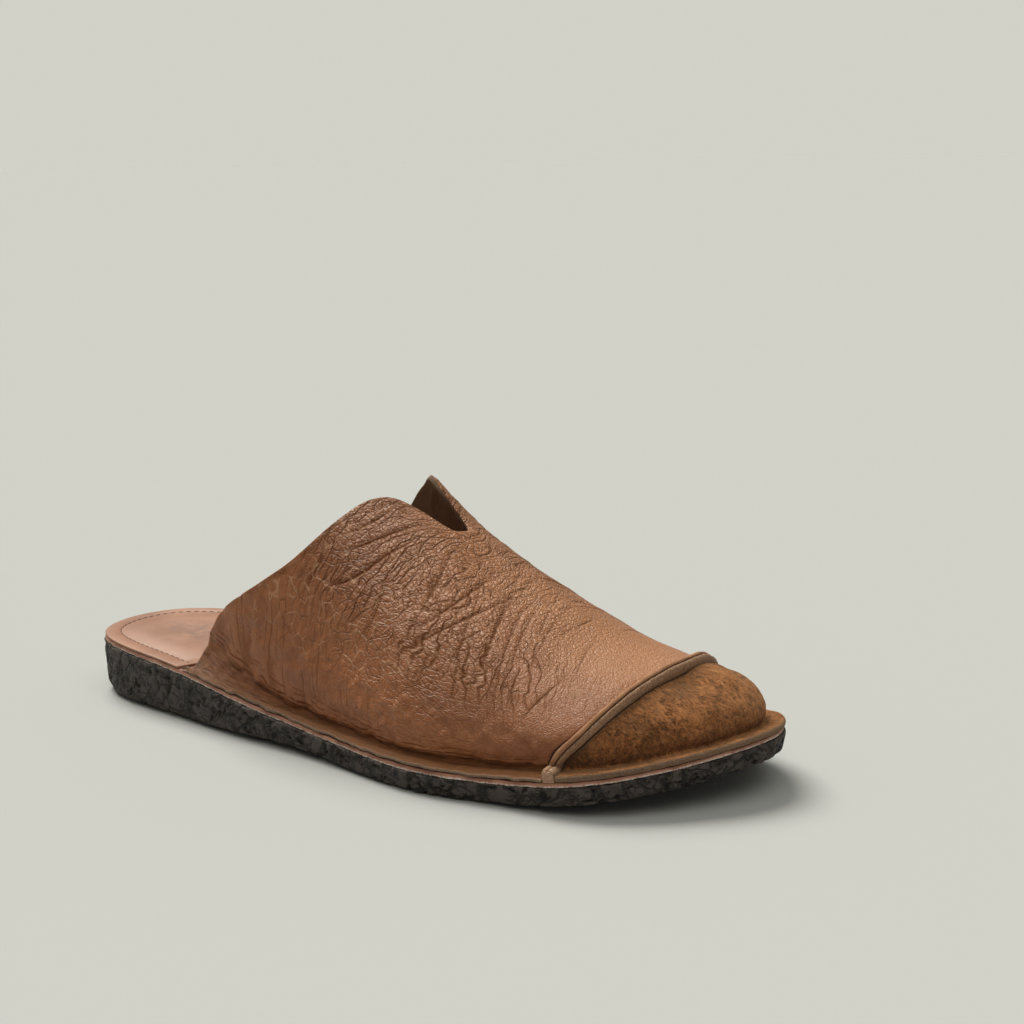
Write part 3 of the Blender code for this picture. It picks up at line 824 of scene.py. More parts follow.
def leather(
    name, outer, fields, thick=LEATHER_THICK, normals=None, open_end=False, round_edge=0.35
):
    """A leather piece from its outer face: an inner face and a rounded cut edge.

    With open_end the last row is a fold where both halves meet, so it has no edge.
    """
    rows, cols = outer.shape[:2]
    normals = grid_normals(outer) if normals is None else normals
    inner = outer - normals * np.reshape(thick, (*np.shape(thick), 1))
    points = [outer.reshape(-1, 3), inner.reshape(-1, 3)]
    count = rows * cols
    ids = np.arange(count).reshape(rows, cols)
    a, b, c, d = ids[:-1, :-1], ids[1:, :-1], ids[1:, 1:], ids[:-1, 1:]
    out_faces = np.stack([a, b, c, d], axis=-1).reshape(-1, 4)
    in_faces = out_faces[:, ::-1] + count
    faces = out_faces.tolist() + in_faces.tolist()
    edge = [(i, 0) for i in range(rows - 1, -1, -1)]
    edge += [(0, j) for j in range(1, cols)]
    edge += [(i, cols - 1) for i in range(1, rows)]
    if not open_end:
        edge += [(rows - 1, j) for j in range(cols - 2, -1, -1)]
    path = np.array(edge)
    border = outer[path[:, 0], path[:, 1]]
    back = inner[path[:, 0], path[:, 1]]
    near_row = np.clip(path[:, 0], 1, rows - 1 if open_end else rows - 2)
    near = outer[near_row, np.clip(path[:, 1], 1, cols - 2)]
    n = normals[path[:, 0], path[:, 1]]
    away = border - near
    away = unit(away - n * np.sum(away * n, axis=1)[:, None])
    extra = {key: [np.asarray(v).reshape(count, -1)] * 2 for key, v in fields.items()}
    border_ids = ids[path[:, 0], path[:, 1]]
    loops = [border_ids]
    start = 2 * count
    cut = [np.zeros(2 * count)]
    rim = [np.full(2 * count, 0.5)]
    for k in (0.08, 0.3, 0.5, 0.7, 0.92):
        lift = round_edge * math.sin(math.pi * k) ** 0.6
        points.append(border + (back - border) * k + away * lift)
        loops.append(np.arange(start, start + len(path)))
        start += len(path)
        cut.append(np.ones(len(path)))
        rim.append(np.full(len(path), k))
        for key, v in fields.items():
            extra[key] = extra[key] + [np.asarray(v).reshape(count, -1)[border_ids]]
    loops.append(border_ids + count)
    size = len(path)
    last = size - 1 if open_end else size
    for low, high in zip(loops[:-1], loops[1:]):
        for j in range(last):
            k = (j + 1) % size
            faces.append((int(low[j]), int(low[k]), int(high[k]), int(high[j])))
    flesh = np.zeros(start)
    flesh[count:2 * count] = 1.0
    named = {"cut": np.concatenate(cut), "rim": np.concatenate(rim), "flesh": flesh}
    for key, v in extra.items():
        v = np.concatenate(v)
        named[key] = v if v.shape[1] > 1 else v[:, 0]
    return mesh_piece(name, np.concatenate(points), faces, named)


def column_places(wall_count):
    """Columns from the lateral flange edge over the crown to the medial one."""
    flange = np.linspace(0, 1, 7)[:-1]
    bend = np.linspace(1, 2, 6)[:-1]
    wall = 2 + np.linspace(0, 1, wall_count)
    return np.concatenate([flange, bend, wall])


def two_sides(stations_for, rows, places):
    """Grid of outer points, with its station and its girth place from 0 to 2."""
    halves = []
    for side in (-1, 1):
        cs = places if side < 0 else places[:-1]
        first, last = stations_for(side, cs)
        x = first[None] + (last - first)[None] * rows[:, None]
        grid = shell(x, side, np.broadcast_to(cs, x.shape))
        halves.append((grid, x, np.broadcast_to(cs, x.shape)))
    (lg, lx, lc), (mg, mx, mc) = halves
    points = np.concatenate([lg, mg[:, ::-1]], axis=1)
    stations = np.concatenate([lx, mx[:, ::-1]], axis=1)
    over = np.concatenate([lc - 2, 4 - mc[:, ::-1]], axis=1)
    return points, stations, over


def crease_depth(stations, over, creases):
    """Depth of the listed creases at each point, and the painted shade along them."""
    u = stations
    v = over * WALL_GIRTH
    depth = np.zeros(u.shape)
    dark = np.zeros(u.shape)
    for x0, x1, x2, s0, s1, s2, deep, wide in creases:
        t = np.linspace(0, 1, 121)[:, None]
        bend = [2 * x1 - (x0 + x2) / 2, 2 * s1 - (s0 + s2) / 2]
        p = np.array([[x0, s0], bend, [x2, s2]])
        p = p * [SOLE_LENGTH, WALL_GIRTH]
        line = (1 - t) ** 2 * p[0] + 2 * t * (1 - t) * p[1] + t * t * p[2]
        low = line.min(axis=0) - 4 * wide
        high = line.max(axis=0) + 4 * wide
        near = (u > low[0]) & (u < high[0]) & (v > low[1]) & (v < high[1])
        if not near.any():
            continue
        q = np.stack([u[near], v[near]], axis=-1)
        wide = 0.75 * wide
        gaps = np.linalg.norm(q[:, None] - line[None], axis=2)
        k = gaps.argmin(axis=1)
        d = gaps[np.arange(len(k)), k]
        end = np.sin(math.pi * np.clip(t[k, 0], 0.0, 1.0)) ** 0.5
        trough = np.exp(-((d / wide) ** 2))
        ridge = np.exp(-(((d - 1.9 * wide) / (0.9 * wide)) ** 2))
        depth[near] += 0.75 * deep * end * (0.25 * ridge - trough)
        # Painted shade in the crease's trough.
        dark[near] = np.maximum(dark[near], end * np.exp(-((d / (0.80 * wide)) ** 2)))
    return depth, dark


def strands(tree, vector, across, noise_scale, wander, wide, seen_from=0.46):
    """Long near-parallel lines that wander, fade out and start again.

    across gives the turns of the pattern per mm along x and y.
    """
    drift = cloud(tree, scaled(tree, vector, noise_scale), 1.0, 0.7)
    place = add(tree, "ShaderNodeSeparateXYZ", {0: vector})
    phase = calc(tree, "MULTIPLY", drift, wander)
    phase = calc(tree, "MULTIPLY_ADD", place.outputs[0], across[0], phase)
    phase = calc(tree, "MULTIPLY_ADD", place.outputs[1], across[1], phase)
    away = calc(tree, "ABSOLUTE", calc(tree, "SUBTRACT", calc(tree, "FRACT", phase), 0.5))
    patches = (1.9 * noise_scale[0], 1.3 * noise_scale[1], 1.0)
    seen = cloud(tree, scaled(tree, vector, patches, (9.0 * wander, 5.0, 0.0)), 1.0, 1.0)
    seen = step(tree, seen, seen_from, seen_from + 0.12)
    return calc(tree, "MULTIPLY", step(tree, away, 0.0, wide, 1.0, 0.0), seen)


def raw_effect():
    """Cut leather: the fibres' height, and their colour from dark to pale."""
    group, given = effect(
        "raw_leather_fibre",
        (("Place", "Vector"), ("Scale", "Float"), ("Roughness", "Float"),
         ("Dark", "Color"), ("Pale", "Color")),
        (("Colour", "Color"), ("Fibre", "Float")),
    )
    fibre = cloud(group, given["Place"], given["Scale"], 4.0, given["Roughness"])
    colour = blend(group, step(group, fibre, 0.35, 0.7), given["Dark"], given["Pale"])
    add(group, "NodeGroupOutput", {"Colour": colour, "Fibre": fibre})
    return group


RAW_FIBRE = raw_effect()


def raw_leather(tree, place, scale, rough, dark, pale):
    values = {
        "Place": place, "Scale": scale, "Roughness": rough,
        "Dark": (*dark, 1.0), "Pale": (*pale, 1.0),
    }
    node = add(tree, "ShaderNodeGroup", values, node_tree=RAW_FIBRE)
    return node.outputs["Colour"], node.outputs["Fibre"]


def grained_leather():
    material, tree, shader = new_material("grained_leather")
    hide = field(tree, "hide").outputs["Vector"]
    marks = add(tree, "ShaderNodeSeparateXYZ", {0: field(tree, "marks").outputs["Vector"]})
    pebble, crown, crease_shade = marks.outputs[0], marks.outputs[1], marks.outputs[2]
    zones = add(tree, "ShaderNodeSeparateXYZ", {0: field(tree, "zones").outputs["Vector"]})
    wrinkled, plates, gathers = zones.outputs[0], zones.outputs[1], zones.outputs[2]
    cut = field(tree, "cut").outputs["Fac"]
    flesh = field(tree, "flesh").outputs["Fac"]
    calm = warped(tree, hide, 0.05, 5.0)
    body = warped(tree, calm, 0.28, 0.45)

    long_lines = strands(tree, calm, (0.36, 0.030), (0.060, 0.020, 1.0), 3.6, 0.19, 0.42)
    leaning = strands(tree, calm, (0.30, -0.062), (0.070, 0.026, 1.0), 3.0, 0.17, 0.45)
    fine_long = strands(tree, calm, (0.66, 0.020), (0.11, 0.045, 1.0), 4.5, 0.22, 0.49)
    long_lines = calc(tree, "MAXIMUM", long_lines, calc(tree, "MULTIPLY", leaning, 0.85))
    long_lines = calc(tree, "MAXIMUM", long_lines, calc(tree, "MULTIPLY", fine_long, 0.42))
    net = cells(tree, scaled(tree, body, (0.42, 0.20, 1.0), (3.3, 1.7, 0.0)))
    net_share = step(tree, cloud(tree, hide, 0.10, 2.0), 0.42, 0.60, 0.15, 0.75)
    net = calc(tree, "MULTIPLY", step(tree, net, 0.0, 0.09, 1.0, 0.0), net_share)
    long_lines = calc(tree, "MULTIPLY", calc(tree, "MAXIMUM", long_lines, net), wrinkled)
    round_cells = cells(tree, scaled(tree, body, (0.66, 0.52, 1.0), (0.0, 5.0, 0.0)))
    round_lines = calc(tree, "MULTIPLY", step(tree, round_cells, 0.0, 0.12, 1.0, 0.0), pebble)
    round_domes = calc(tree, "MULTIPLY", step(tree, round_cells, 0.0, 0.36), pebble)
    plate_cells = cells(tree, scaled(tree, body, (0.24, 0.17, 1.0), (7.0, 0.0, 0.0)), 1.0, 0.8)
    plate_lines = calc(tree, "MULTIPLY", step(tree, plate_cells, 0.0, 0.075, 1.0, 0.0), plates)
    pale_share = step(tree, cloud(tree, hide, 0.13, 2.0), 0.42, 0.60)
    pale_lines = calc(tree, "MULTIPLY", plate_lines, pale_share)
    dark_plates = calc(tree, "MULTIPLY", plate_lines, calc(tree, "SUBTRACT", 1.0, pale_share))
    tucks = strands(tree, hide, (0.33, 0.030), (0.10, 0.040, 1.0), 3.4, 0.15, 0.47)
    tucks = calc(tree, "MULTIPLY", tucks, calc(tree, "MULTIPLY", gathers, 0.60))
    turned = field(tree, "turned").outputs["Fac"]
    feather = strands(tree, hide, (0.02, 0.62), (0.10, 0.22, 1.0), 2.6, 0.20, 0.42)
    feather = calc(tree, "MULTIPLY", feather, field(tree, "feather").outputs["Fac"])
    tucks = calc(tree, "MAXIMUM", tucks, feather)
    micro = cells(tree, scaled(tree, warped(tree, hide, 0.9, 0.7), (1.15, 1.05, 1.0)))
    micro = step(tree, micro, 0.0, 0.25)
    pores = cloud(tree, hide, 2.2, 3.0, 0.62)
    height = calc(tree, "MULTIPLY", calc(tree, "MAXIMUM", long_lines, tucks), -0.85)
    height = calc(tree, "MULTIPLY_ADD", round_lines, -0.45, height)
    height = calc(tree, "MULTIPLY_ADD", round_domes, 0.30, height)
    height = calc(tree, "MULTIPLY_ADD", pale_lines, 0.40, height)
    height = calc(tree, "MULTIPLY_ADD", dark_plates, -0.45, height)
    height = calc(tree, "MULTIPLY_ADD", micro, 0.16, height)
    height = calc(tree, "MULTIPLY_ADD", pores, 0.20, height)
    raw, fuzz = raw_leather(tree, millimetres(tree), 3.5, 0.7, RAW_DARK, RAW_PALE)
    rough_side = calc(tree, "MAXIMUM", cut, flesh)
    height_mix = add(tree, "ShaderNodeMix", {0: rough_side, 2: height, 3: fuzz}, data_type="FLOAT")
    shader_normal = bump(tree, height_mix.outputs[0], 0.50, 0.85)

    tone = cloud(tree, hide, 0.03, 3.0)
    base = blend(tree, step(tree, tone, 0.35, 0.68), HIDE_DARK, HIDE_PALE)
    # Painted shade: the lower wall is darkened a little.
    base = blend(tree, calc(tree, "MULTIPLY", plates, 0.16), base, PLATE_SHADE)
    # Painted light: the crest and the front of the vamp are paled.
    base = blend(tree, crown, base, CROWN_PAINTED_LIGHT)
    golden = cloud(tree, scaled(tree, hide, (0.10, 0.75, 1.0)), 1.0, 4.0, 0.65)
    golden = blend(tree, step(tree, golden, 0.36, 0.66), FLANGE_DARK, FLANGE_GOLD)
    base = blend(tree, calc(tree, "MULTIPLY", turned, 0.85), base, golden)
    mottled = cloud(tree, hide, 0.45, 5.0, 0.72)
    base = blend(tree, step(tree, mottled, 0.42, 0.72, 0.0, 0.30), base, MOTTLE_PALE)
    base = blend(tree, step(tree, mottled, 0.30, 0.46, 0.35, 0.0), base, MOTTLE_DARK)
    lines = calc(tree, "MAXIMUM", calc(tree, "MULTIPLY", round_lines, 0.38), long_lines)
    lines = calc(tree, "MAXIMUM", lines, calc(tree, "MULTIPLY", tucks, 0.8))
    lines = calc(tree, "MAXIMUM", lines, calc(tree, "MULTIPLY", dark_plates, 0.55))
    # The dark grain lines are real; the crease mark adds painted shade in the creases and in the
    # groove at the foot of the wall.
    lines = calc(tree, "MAXIMUM", lines, step(tree, crease_shade, 0.25, 0.80), clamp=True)
    base = blend(tree, calc(tree, "MULTIPLY", lines, 0.74), base, GRAIN_LINE_AND_SHADE)
    base = blend(tree, calc(tree, "MULTIPLY", pale_lines, 0.42), base, LINE_PALE)
    rim = field(tree, "rim").outputs["Fac"]
    plies = add(tree, "ShaderNodeTexWave", {"Vector": rim, "Scale": 1.6}).outputs["Fac"]
    raw = blend(tree, step(tree, plies, 0.55, 1.0, 0.0, 0.6), raw, RAW_PLY)
    base = blend(tree, cut, base, raw)
    inside = blend(tree, fuzz, FLESH_DARK, FLESH_PALE)
    base = blend(tree, flesh, base, inside)
    tree.links.new(base, shader.inputs["Base Color"])
    gloss = calc(tree, "MULTIPLY_ADD", mottled, 0.30, 0.26)
    gloss = calc(tree, "MULTIPLY_ADD", lines, 0.25, gloss)
    gloss = calc(tree, "MAXIMUM", gloss, calc(tree, "MULTIPLY", rough_side, 0.92))
    tree.links.new(gloss, shader.inputs["Roughness"])
    shine = calc(tree, "MULTIPLY_ADD", lines, -0.42, 0.5)
    tree.links.new(shine, shader.inputs["Specular IOR Level"])
    tree.links.new(shader_normal, shader.inputs["Normal"])
    return material


def build_upper():
    places = column_places(90)

    def stations(side, cs):
        return topline(side, cs), beside_seam(side, cs, -SEAM_CLEAR)

    rows = np.linspace(0, 1, 190)
    p, x, over = two_sides(stations, rows, places)
    n = grid_normals(p)
    on_wall = soft(over, 0.0, 0.12) * soft(2 - over, 0.0, 0.12)
    edge = soft(rows, 0.0, 0.02)[:, None] * soft(1 - rows, 0.0, 0.03)[:, None]
    slow = lumps(p, 0.028, 3.1, 2) * 0.9
    u = x / SOLE_LENGTH
    mirror = tuple(
        (x0 + 0.008, x1 - 0.006, x2 + 0.010, 2 - s0, 2 - s1, 2 - s2, 0.8 * deep, wide)
        for x0, x1, x2, s0, s1, s2, deep, wide in CREASES[::2]
    )
    depth, dark = crease_depth(x, over, CREASES + mirror)
    tilt = np.interp(u, (0.25, 0.50, 0.60, 0.72, 0.90), (0.15, 0.12, 0.06, -0.04, -0.05))
    reach = np.minimum(over, 2 - over)
    flow = x - SOLE_LENGTH * tilt * np.maximum(reach - 0.9, -0.6)
    hide = np.stack([flow, WALL_GIRTH * over, 0 * x], axis=-1)
    wave = lumps(hide * [1.0, 0.20, 1.0], 0.24, 7.7, 2)
    wrinkled = soft(u, 0.34, 0.50) * (1 - 0.75 * soft(u, 0.74, 0.83)) * soft(reach, 0.10, 0.40)
    wrinkled = wrinkled * (1 - 0.55 * soft(u, 0.64, 0.76) * soft(reach, 0.50, 0.80))
    moved = slow * on_wall * edge + wave * 0.24 * wrinkled * edge + depth * edge
    flange = 1 - soft(over, -1.05, -0.2) * soft(2 - over, -1.05, -0.2)
    ripple = lumps(p, 0.22, 1.7, 2)
    moved += ripple * 0.38 * flange
    belly = np.exp(-(((reach - 0.09) / 0.10) ** 2))
    belly = belly * soft(u, 0.28, 0.42) * (1 - soft(u, 0.76, 0.84))
    moved += (0.7 + 0.5 * ripple) * belly
    moved -= 0.75 * soft(-1 - reach, 0.2, 1.0)
    groove_at = np.interp(u, (0.26, 0.50), (-0.06, -0.30))
    along_foot = np.stack([x * 0.12, np.sign(over - 1) * 9.0, 0 * x], axis=-1)
    wander = lumps(along_foot, 1.0, 2.3, 3)
    pucker_at = np.stack([x * 0.30, reach * 2.0, np.sign(over - 1) * 5.0], axis=-1)
    pucker = lumps(pucker_at, 1.0, 6.1, 2)
    moved += 0.55 * pucker * np.exp(-(((reach + 0.12) / 0.26) ** 2)) * edge * soft(u, 0.28, 0.36)
    groove = np.exp(-(((reach - groove_at - 0.16 * wander) / 0.16) ** 2))
    above = np.exp(-(((reach - groove_at - 0.30 + 0.20 * wander) / 0.09) ** 2))
    above = above * soft(wander, -0.1, 0.3)
    moved -= 0.75 * groove + 0.35 * above
    groove = np.maximum(groove, 0.8 * above)
    p = p + n * moved[..., None]
    p[..., 1] += ripple * 0.55 * soft(-over, 1.3, 1.9)
    spread = 2.5 * soft(u, 0.26, 0.42) * (1 - 0.6 * soft(u, 0.55, 0.72))
    spread = spread * (1 - soft(u, 0.76, 0.83))
    spread = (spread + 0.5 * ripple) * np.clip(reach + 2, 0, 1) * (1 - soft(reach, 0.0, 0.35))
    for side, mine in ((-1, over <= 1), (1, over > 1)):
        _, nx, ny = foot(x[mine], side)
        p[mine] += np.stack([nx, ny, 0 * nx], axis=-1) * spread[mine][:, None]
    pebble = soft(reach, 0.35, 0.75) * (1 - 0.8 * soft(u, 0.70, 0.84))
    pebble = pebble * (0.45 + 0.55 * soft(u, 0.40, 0.50))
    pebble = pebble + 0.12 + 0.42 * soft(u, 0.42, 0.56) * (1 - 0.7 * soft(u, 0.66, 0.78))
    pebble = np.clip(pebble, 0, 1) * soft(reach, -0.1, 0.1)
    # crown: where painted light pales the crest and the front of the vamp.
    crown = 0.38 * soft(u, 0.36, 0.45) + 0.62 * soft(u, 0.50, 0.70)
    crown = np.exp(-(((over - 1.0) / 0.42) ** 2)) * crown
    crown = np.clip(crown + 0.32 * soft(u, 0.66, 0.84) * soft(reach, 0.15, 0.6), 0, 1)
    # Painted shade: the creases' troughs and the groove at the foot of the wall are darkened in
    # colour.
    crease_shade = np.clip(dark + groove * 0.62 * soft(u, 0.24, 0.34), 0, 1)
    plates = (1 - 0.6 * soft(u, 0.62, 0.74)) * soft(reach, 0.06, 0.22)
    plates = plates * (1 - 0.7 * soft(reach, 0.60, 0.85))
    gathers = soft(reach, -0.05, 0.05) * (1 - soft(reach, 0.14, 0.30))
    gathers = gathers * (1 - 0.7 * soft(u, 0.55, 0.70))
    skived = LEATHER_THICK * (1 - 0.38 * soft(-1 - reach, 0.2, 1.0))
    named = {
        "hide": hide,
        "marks": np.stack([pebble, crown, crease_shade], axis=-1),
        "zones": np.stack([wrinkled, plates, gathers], axis=-1),
        "turned": flange * soft(-reach, 0.05, 0.4),
        "feather": soft(reach, -1.3, -0.8) * (1 - soft(reach, 0.00, 0.07)),
    }
    obj = leather("upper_leather", p, named, thick=skived)
    obj.data.materials.append(grained_leather())
    return fitted(obj, "upper")


upper = build_upper()


# Toe cap
# Napped suede drawn over the toe, with its own turned-out flange: brushed in
# streaks, rubbed paler in patches, with painted shade along the seam and at the
# foot of the wall, and a soft dent near the front.

NAP_DARK = (0.062, 0.021, 0.0075)
NAP_PALE = (0.495, 0.175, 0.054)
CLUMP_PALE = (0.62, 0.270, 0.105)
CLUMP_DARK = (0.040, 0.014, 0.005)
SUEDE_PATCH_AND_SHADE = (0.050, 0.018, 0.007)
SUEDE_RUBBED = (0.66, 0.270, 0.095)
SUEDE_RAW_DARK = (0.10, 0.055, 0.035)
SUEDE_RAW_PALE = (0.33, 0.22, 0.15)
SUEDE_FLESH = (0.09, 0.045, 0.025)
NAP_SHEEN = (0.9, 0.55, 0.3, 1.0)
WELD = 5e-6  # metres


def weld(obj):
    work = bmesh.new()
    work.from_mesh(obj.data)
    bmesh.ops.remove_doubles(work, verts=work.verts, dist=WELD)
    work.to_mesh(obj.data)
    work.free()


def suede_material():
    material, tree, shader = new_material("toe_suede")
    place = millimetres(tree)
    streak = scaled(tree, warped(tree, place, 0.12, 5.0), (0.42, 1.0, 0.7))
    nap = cloud(tree, streak, 1.7, 6.0, 0.8)
    raw, fine = raw_leather(tree, place, 3.2, 0.75, SUEDE_RAW_DARK, SUEDE_RAW_PALE)
    brushed = scaled(tree, warped(tree, place, 0.22, 3.5), (0.30, 0.75, 0.45))
    clumps = cloud(tree, brushed, 1.0, 4.0, 0.65)
    patches = cloud(tree, place, 0.10, 3.0, 0.6)
    base = blend(tree, step(tree, nap, 0.37, 0.63), NAP_DARK, NAP_PALE)
    base = blend(tree, step(tree, clumps, 0.50, 0.70, 0.0, 0.55), base, CLUMP_PALE)
    base = blend(tree, step(tree, clumps, 0.50, 0.34, 0.0, 0.65), base, CLUMP_DARK)
    # Darker patches at random, then paler rubbed ones.
    base = blend(tree, step(tree, patches, 0.50, 0.70, 0.0, 0.42), base, SUEDE_PATCH_AND_SHADE)
    base = blend(tree, step(tree, patches, 0.48, 0.34, 0.0, 0.30), base, SUEDE_RUBBED)
    # Painted shade: darker along the seam and where the wall turns into the flange, less where the
    # nap is pale.
    shade = field(tree, "shade").outputs["Fac"]
    shade = calc(tree, "MULTIPLY", shade, step(tree, nap, 0.30, 0.62, 0.95, 0.55))
    base = blend(tree, shade, base, SUEDE_PATCH_AND_SHADE)
    cut = field(tree, "cut").outputs["Fac"]
    base = blend(tree, cut, base, raw)
    base = blend(tree, field(tree, "flesh").outputs["Fac"], base, SUEDE_FLESH)
    tree.links.new(base, shader.inputs["Base Color"])
    shader.inputs["Roughness"].default_value = 0.95
    shader.inputs["Specular IOR Level"].default_value = 0.15
    shader.inputs["Sheen Weight"].default_value = 0.45
    shader.inputs["Sheen Roughness"].default_value = 0.45
    shader.inputs["Sheen Tint"].default_value = NAP_SHEEN
    height = calc(tree, "MULTIPLY_ADD", nap, 0.8, calc(tree, "MULTIPLY", fine, 0.6))
    height = calc(tree, "MULTIPLY_ADD", clumps, 0.8, height)
    tree.links.new(bump(tree, height, 0.9, 1.0), shader.inputs["Normal"])
    return material


def build_toe_cap():
    places = column_places(70)

    def stations(side, cs):
        return beside_seam(side, cs, SEAM_CLEAR), np.full(len(cs), X_TIP)

    t = np.linspace(0, 1, 64)
    rows = 1 - (1 - t) ** 2
    p, x, over = two_sides(stations, rows, places)
    n = grid_normals(p)
    last = unit(n[-1] + n[-1, ::-1])
    n[-1] = last
    n[-2] = unit(n[-2] * 0.6 + last * 0.4)
    dent_at = np.array([0.915 * SOLE_LENGTH, -0.02 * BALL_WIDTH, 36.0])
    dent = np.exp(-np.sum(((p - dent_at) / [7.0, 9.0, 12.0]) ** 2, axis=-1))
    slow = lumps(p, 0.07, 5.3, 2) * 0.8
    rough = lumps(p, 0.45, 2.1, 2) * 0.22
    on_wall = soft(over, -0.4, 0.2) * soft(2 - over, -0.4, 0.2)
    moved = (slow + rough) * on_wall - 1.6 * dent + rough * 0.8 * (1 - on_wall)
    p = p + n * moved[..., None]
    p[-1] = (p[-1] + p[-1, ::-1]) / 2
    reach = np.minimum(over, 2 - over)
    from_seam = x - x[:1]
    # Painted shade next to the seam and at the foot of the wall.
    shade = 0.85 * np.exp(-from_seam / 3.0) + 0.7 * np.exp(-(((reach + 0.12) / 0.22) ** 2))
    obj = leather("toe_suede_cap", p, {"shade": shade}, normals=n, open_end=True, round_edge=0.5)
    weld(obj)
    obj.data.materials.append(suede_material())
    return fitted(obj, "toe_cap")


toe_cap = build_toe_cap()


# Toe seam
# The vamp and the toe cap turned outward and sewn side by side: two soft cut
# edges with painted shade in the slit between them, down over both flanges.

SEAM_HALF_WIDE = 1.95
SEAM_RISE = 2.6
SEAM_DEPTH = 2.2
# Section across both edges: shares of half width, and of rise or depth.
SEAM_SECTION = np.array([
    (-1.0, -1.0), (-1.0, -0.2), (-1.02, 0.35), (-0.95, 0.72), (-0.76, 0.93), (-0.45, 1.0),
    (-0.18, 0.93), (-0.05, 0.76), (0.0, 0.58), (0.07, 0.70), (0.22, 0.84), (0.45, 0.85),
    (0.72, 0.70), (0.92, 0.48), (1.04, 0.22), (1.0, -0.2), (1.0, -1.0),
])
# Rounding of each end: share of the section, and how far it stands out.
SEAM_END = ((0.86, 0.35), (0.5, 0.62), (0.0, 0.75))

SEAM_DARK = (0.240, 0.098, 0.040)
SEAM_PALE = (0.360, 0.170, 0.078)
SEAM_RAW_DARK = (0.135, 0.062, 0.030)
SEAM_RAW_PALE = (0.44, 0.255, 0.145)
SEAM_SLIT_SHADE = (0.035, 0.017, 0.009)
SEAM_TAB = (0.46, 0.28, 0.18)


def edge_material():
    material, tree, shader = new_material("seam_edge_leather")
    place = millimetres(tree)
    band = field(tree, "band").outputs["Fac"]
    raw, fibre = raw_leather(tree, place, 2.4, 0.75, SEAM_RAW_DARK, SEAM_RAW_PALE)
    tone = cloud(tree, place, 0.12, 3.0)
    grain = blend(tree, step(tree, tone, 0.35, 0.65), SEAM_DARK, SEAM_PALE)
    base = blend(tree, step(tree, band, 0.45, 0.60), grain, raw)
    # Painted shade in the slit between the two edges.
    off_slit = calc(tree, "ABSOLUTE", calc(tree, "SUBTRACT", band, 0.5))
    slit_shade = step(tree, off_slit, 0.02, 0.085, 1.0, 0.0)
    base = blend(tree, calc(tree, "MULTIPLY", slit_shade, 0.85), base, SEAM_SLIT_SHADE)
    tab = field(tree, "tab").outputs["Fac"]
    tab = calc(tree, "MULTIPLY", tab, step(tree, fibre, 0.30, 0.55, 0.2, 0.65))
    base = blend(tree, tab, base, SEAM_TAB)
    tree.links.new(base, shader.inputs["Base Color"])
    shader.inputs["Roughness"].default_value = 0.78
    tree.links.new(bump(tree, fibre, 0.35, 0.8), shader.inputs["Normal"])
    return material


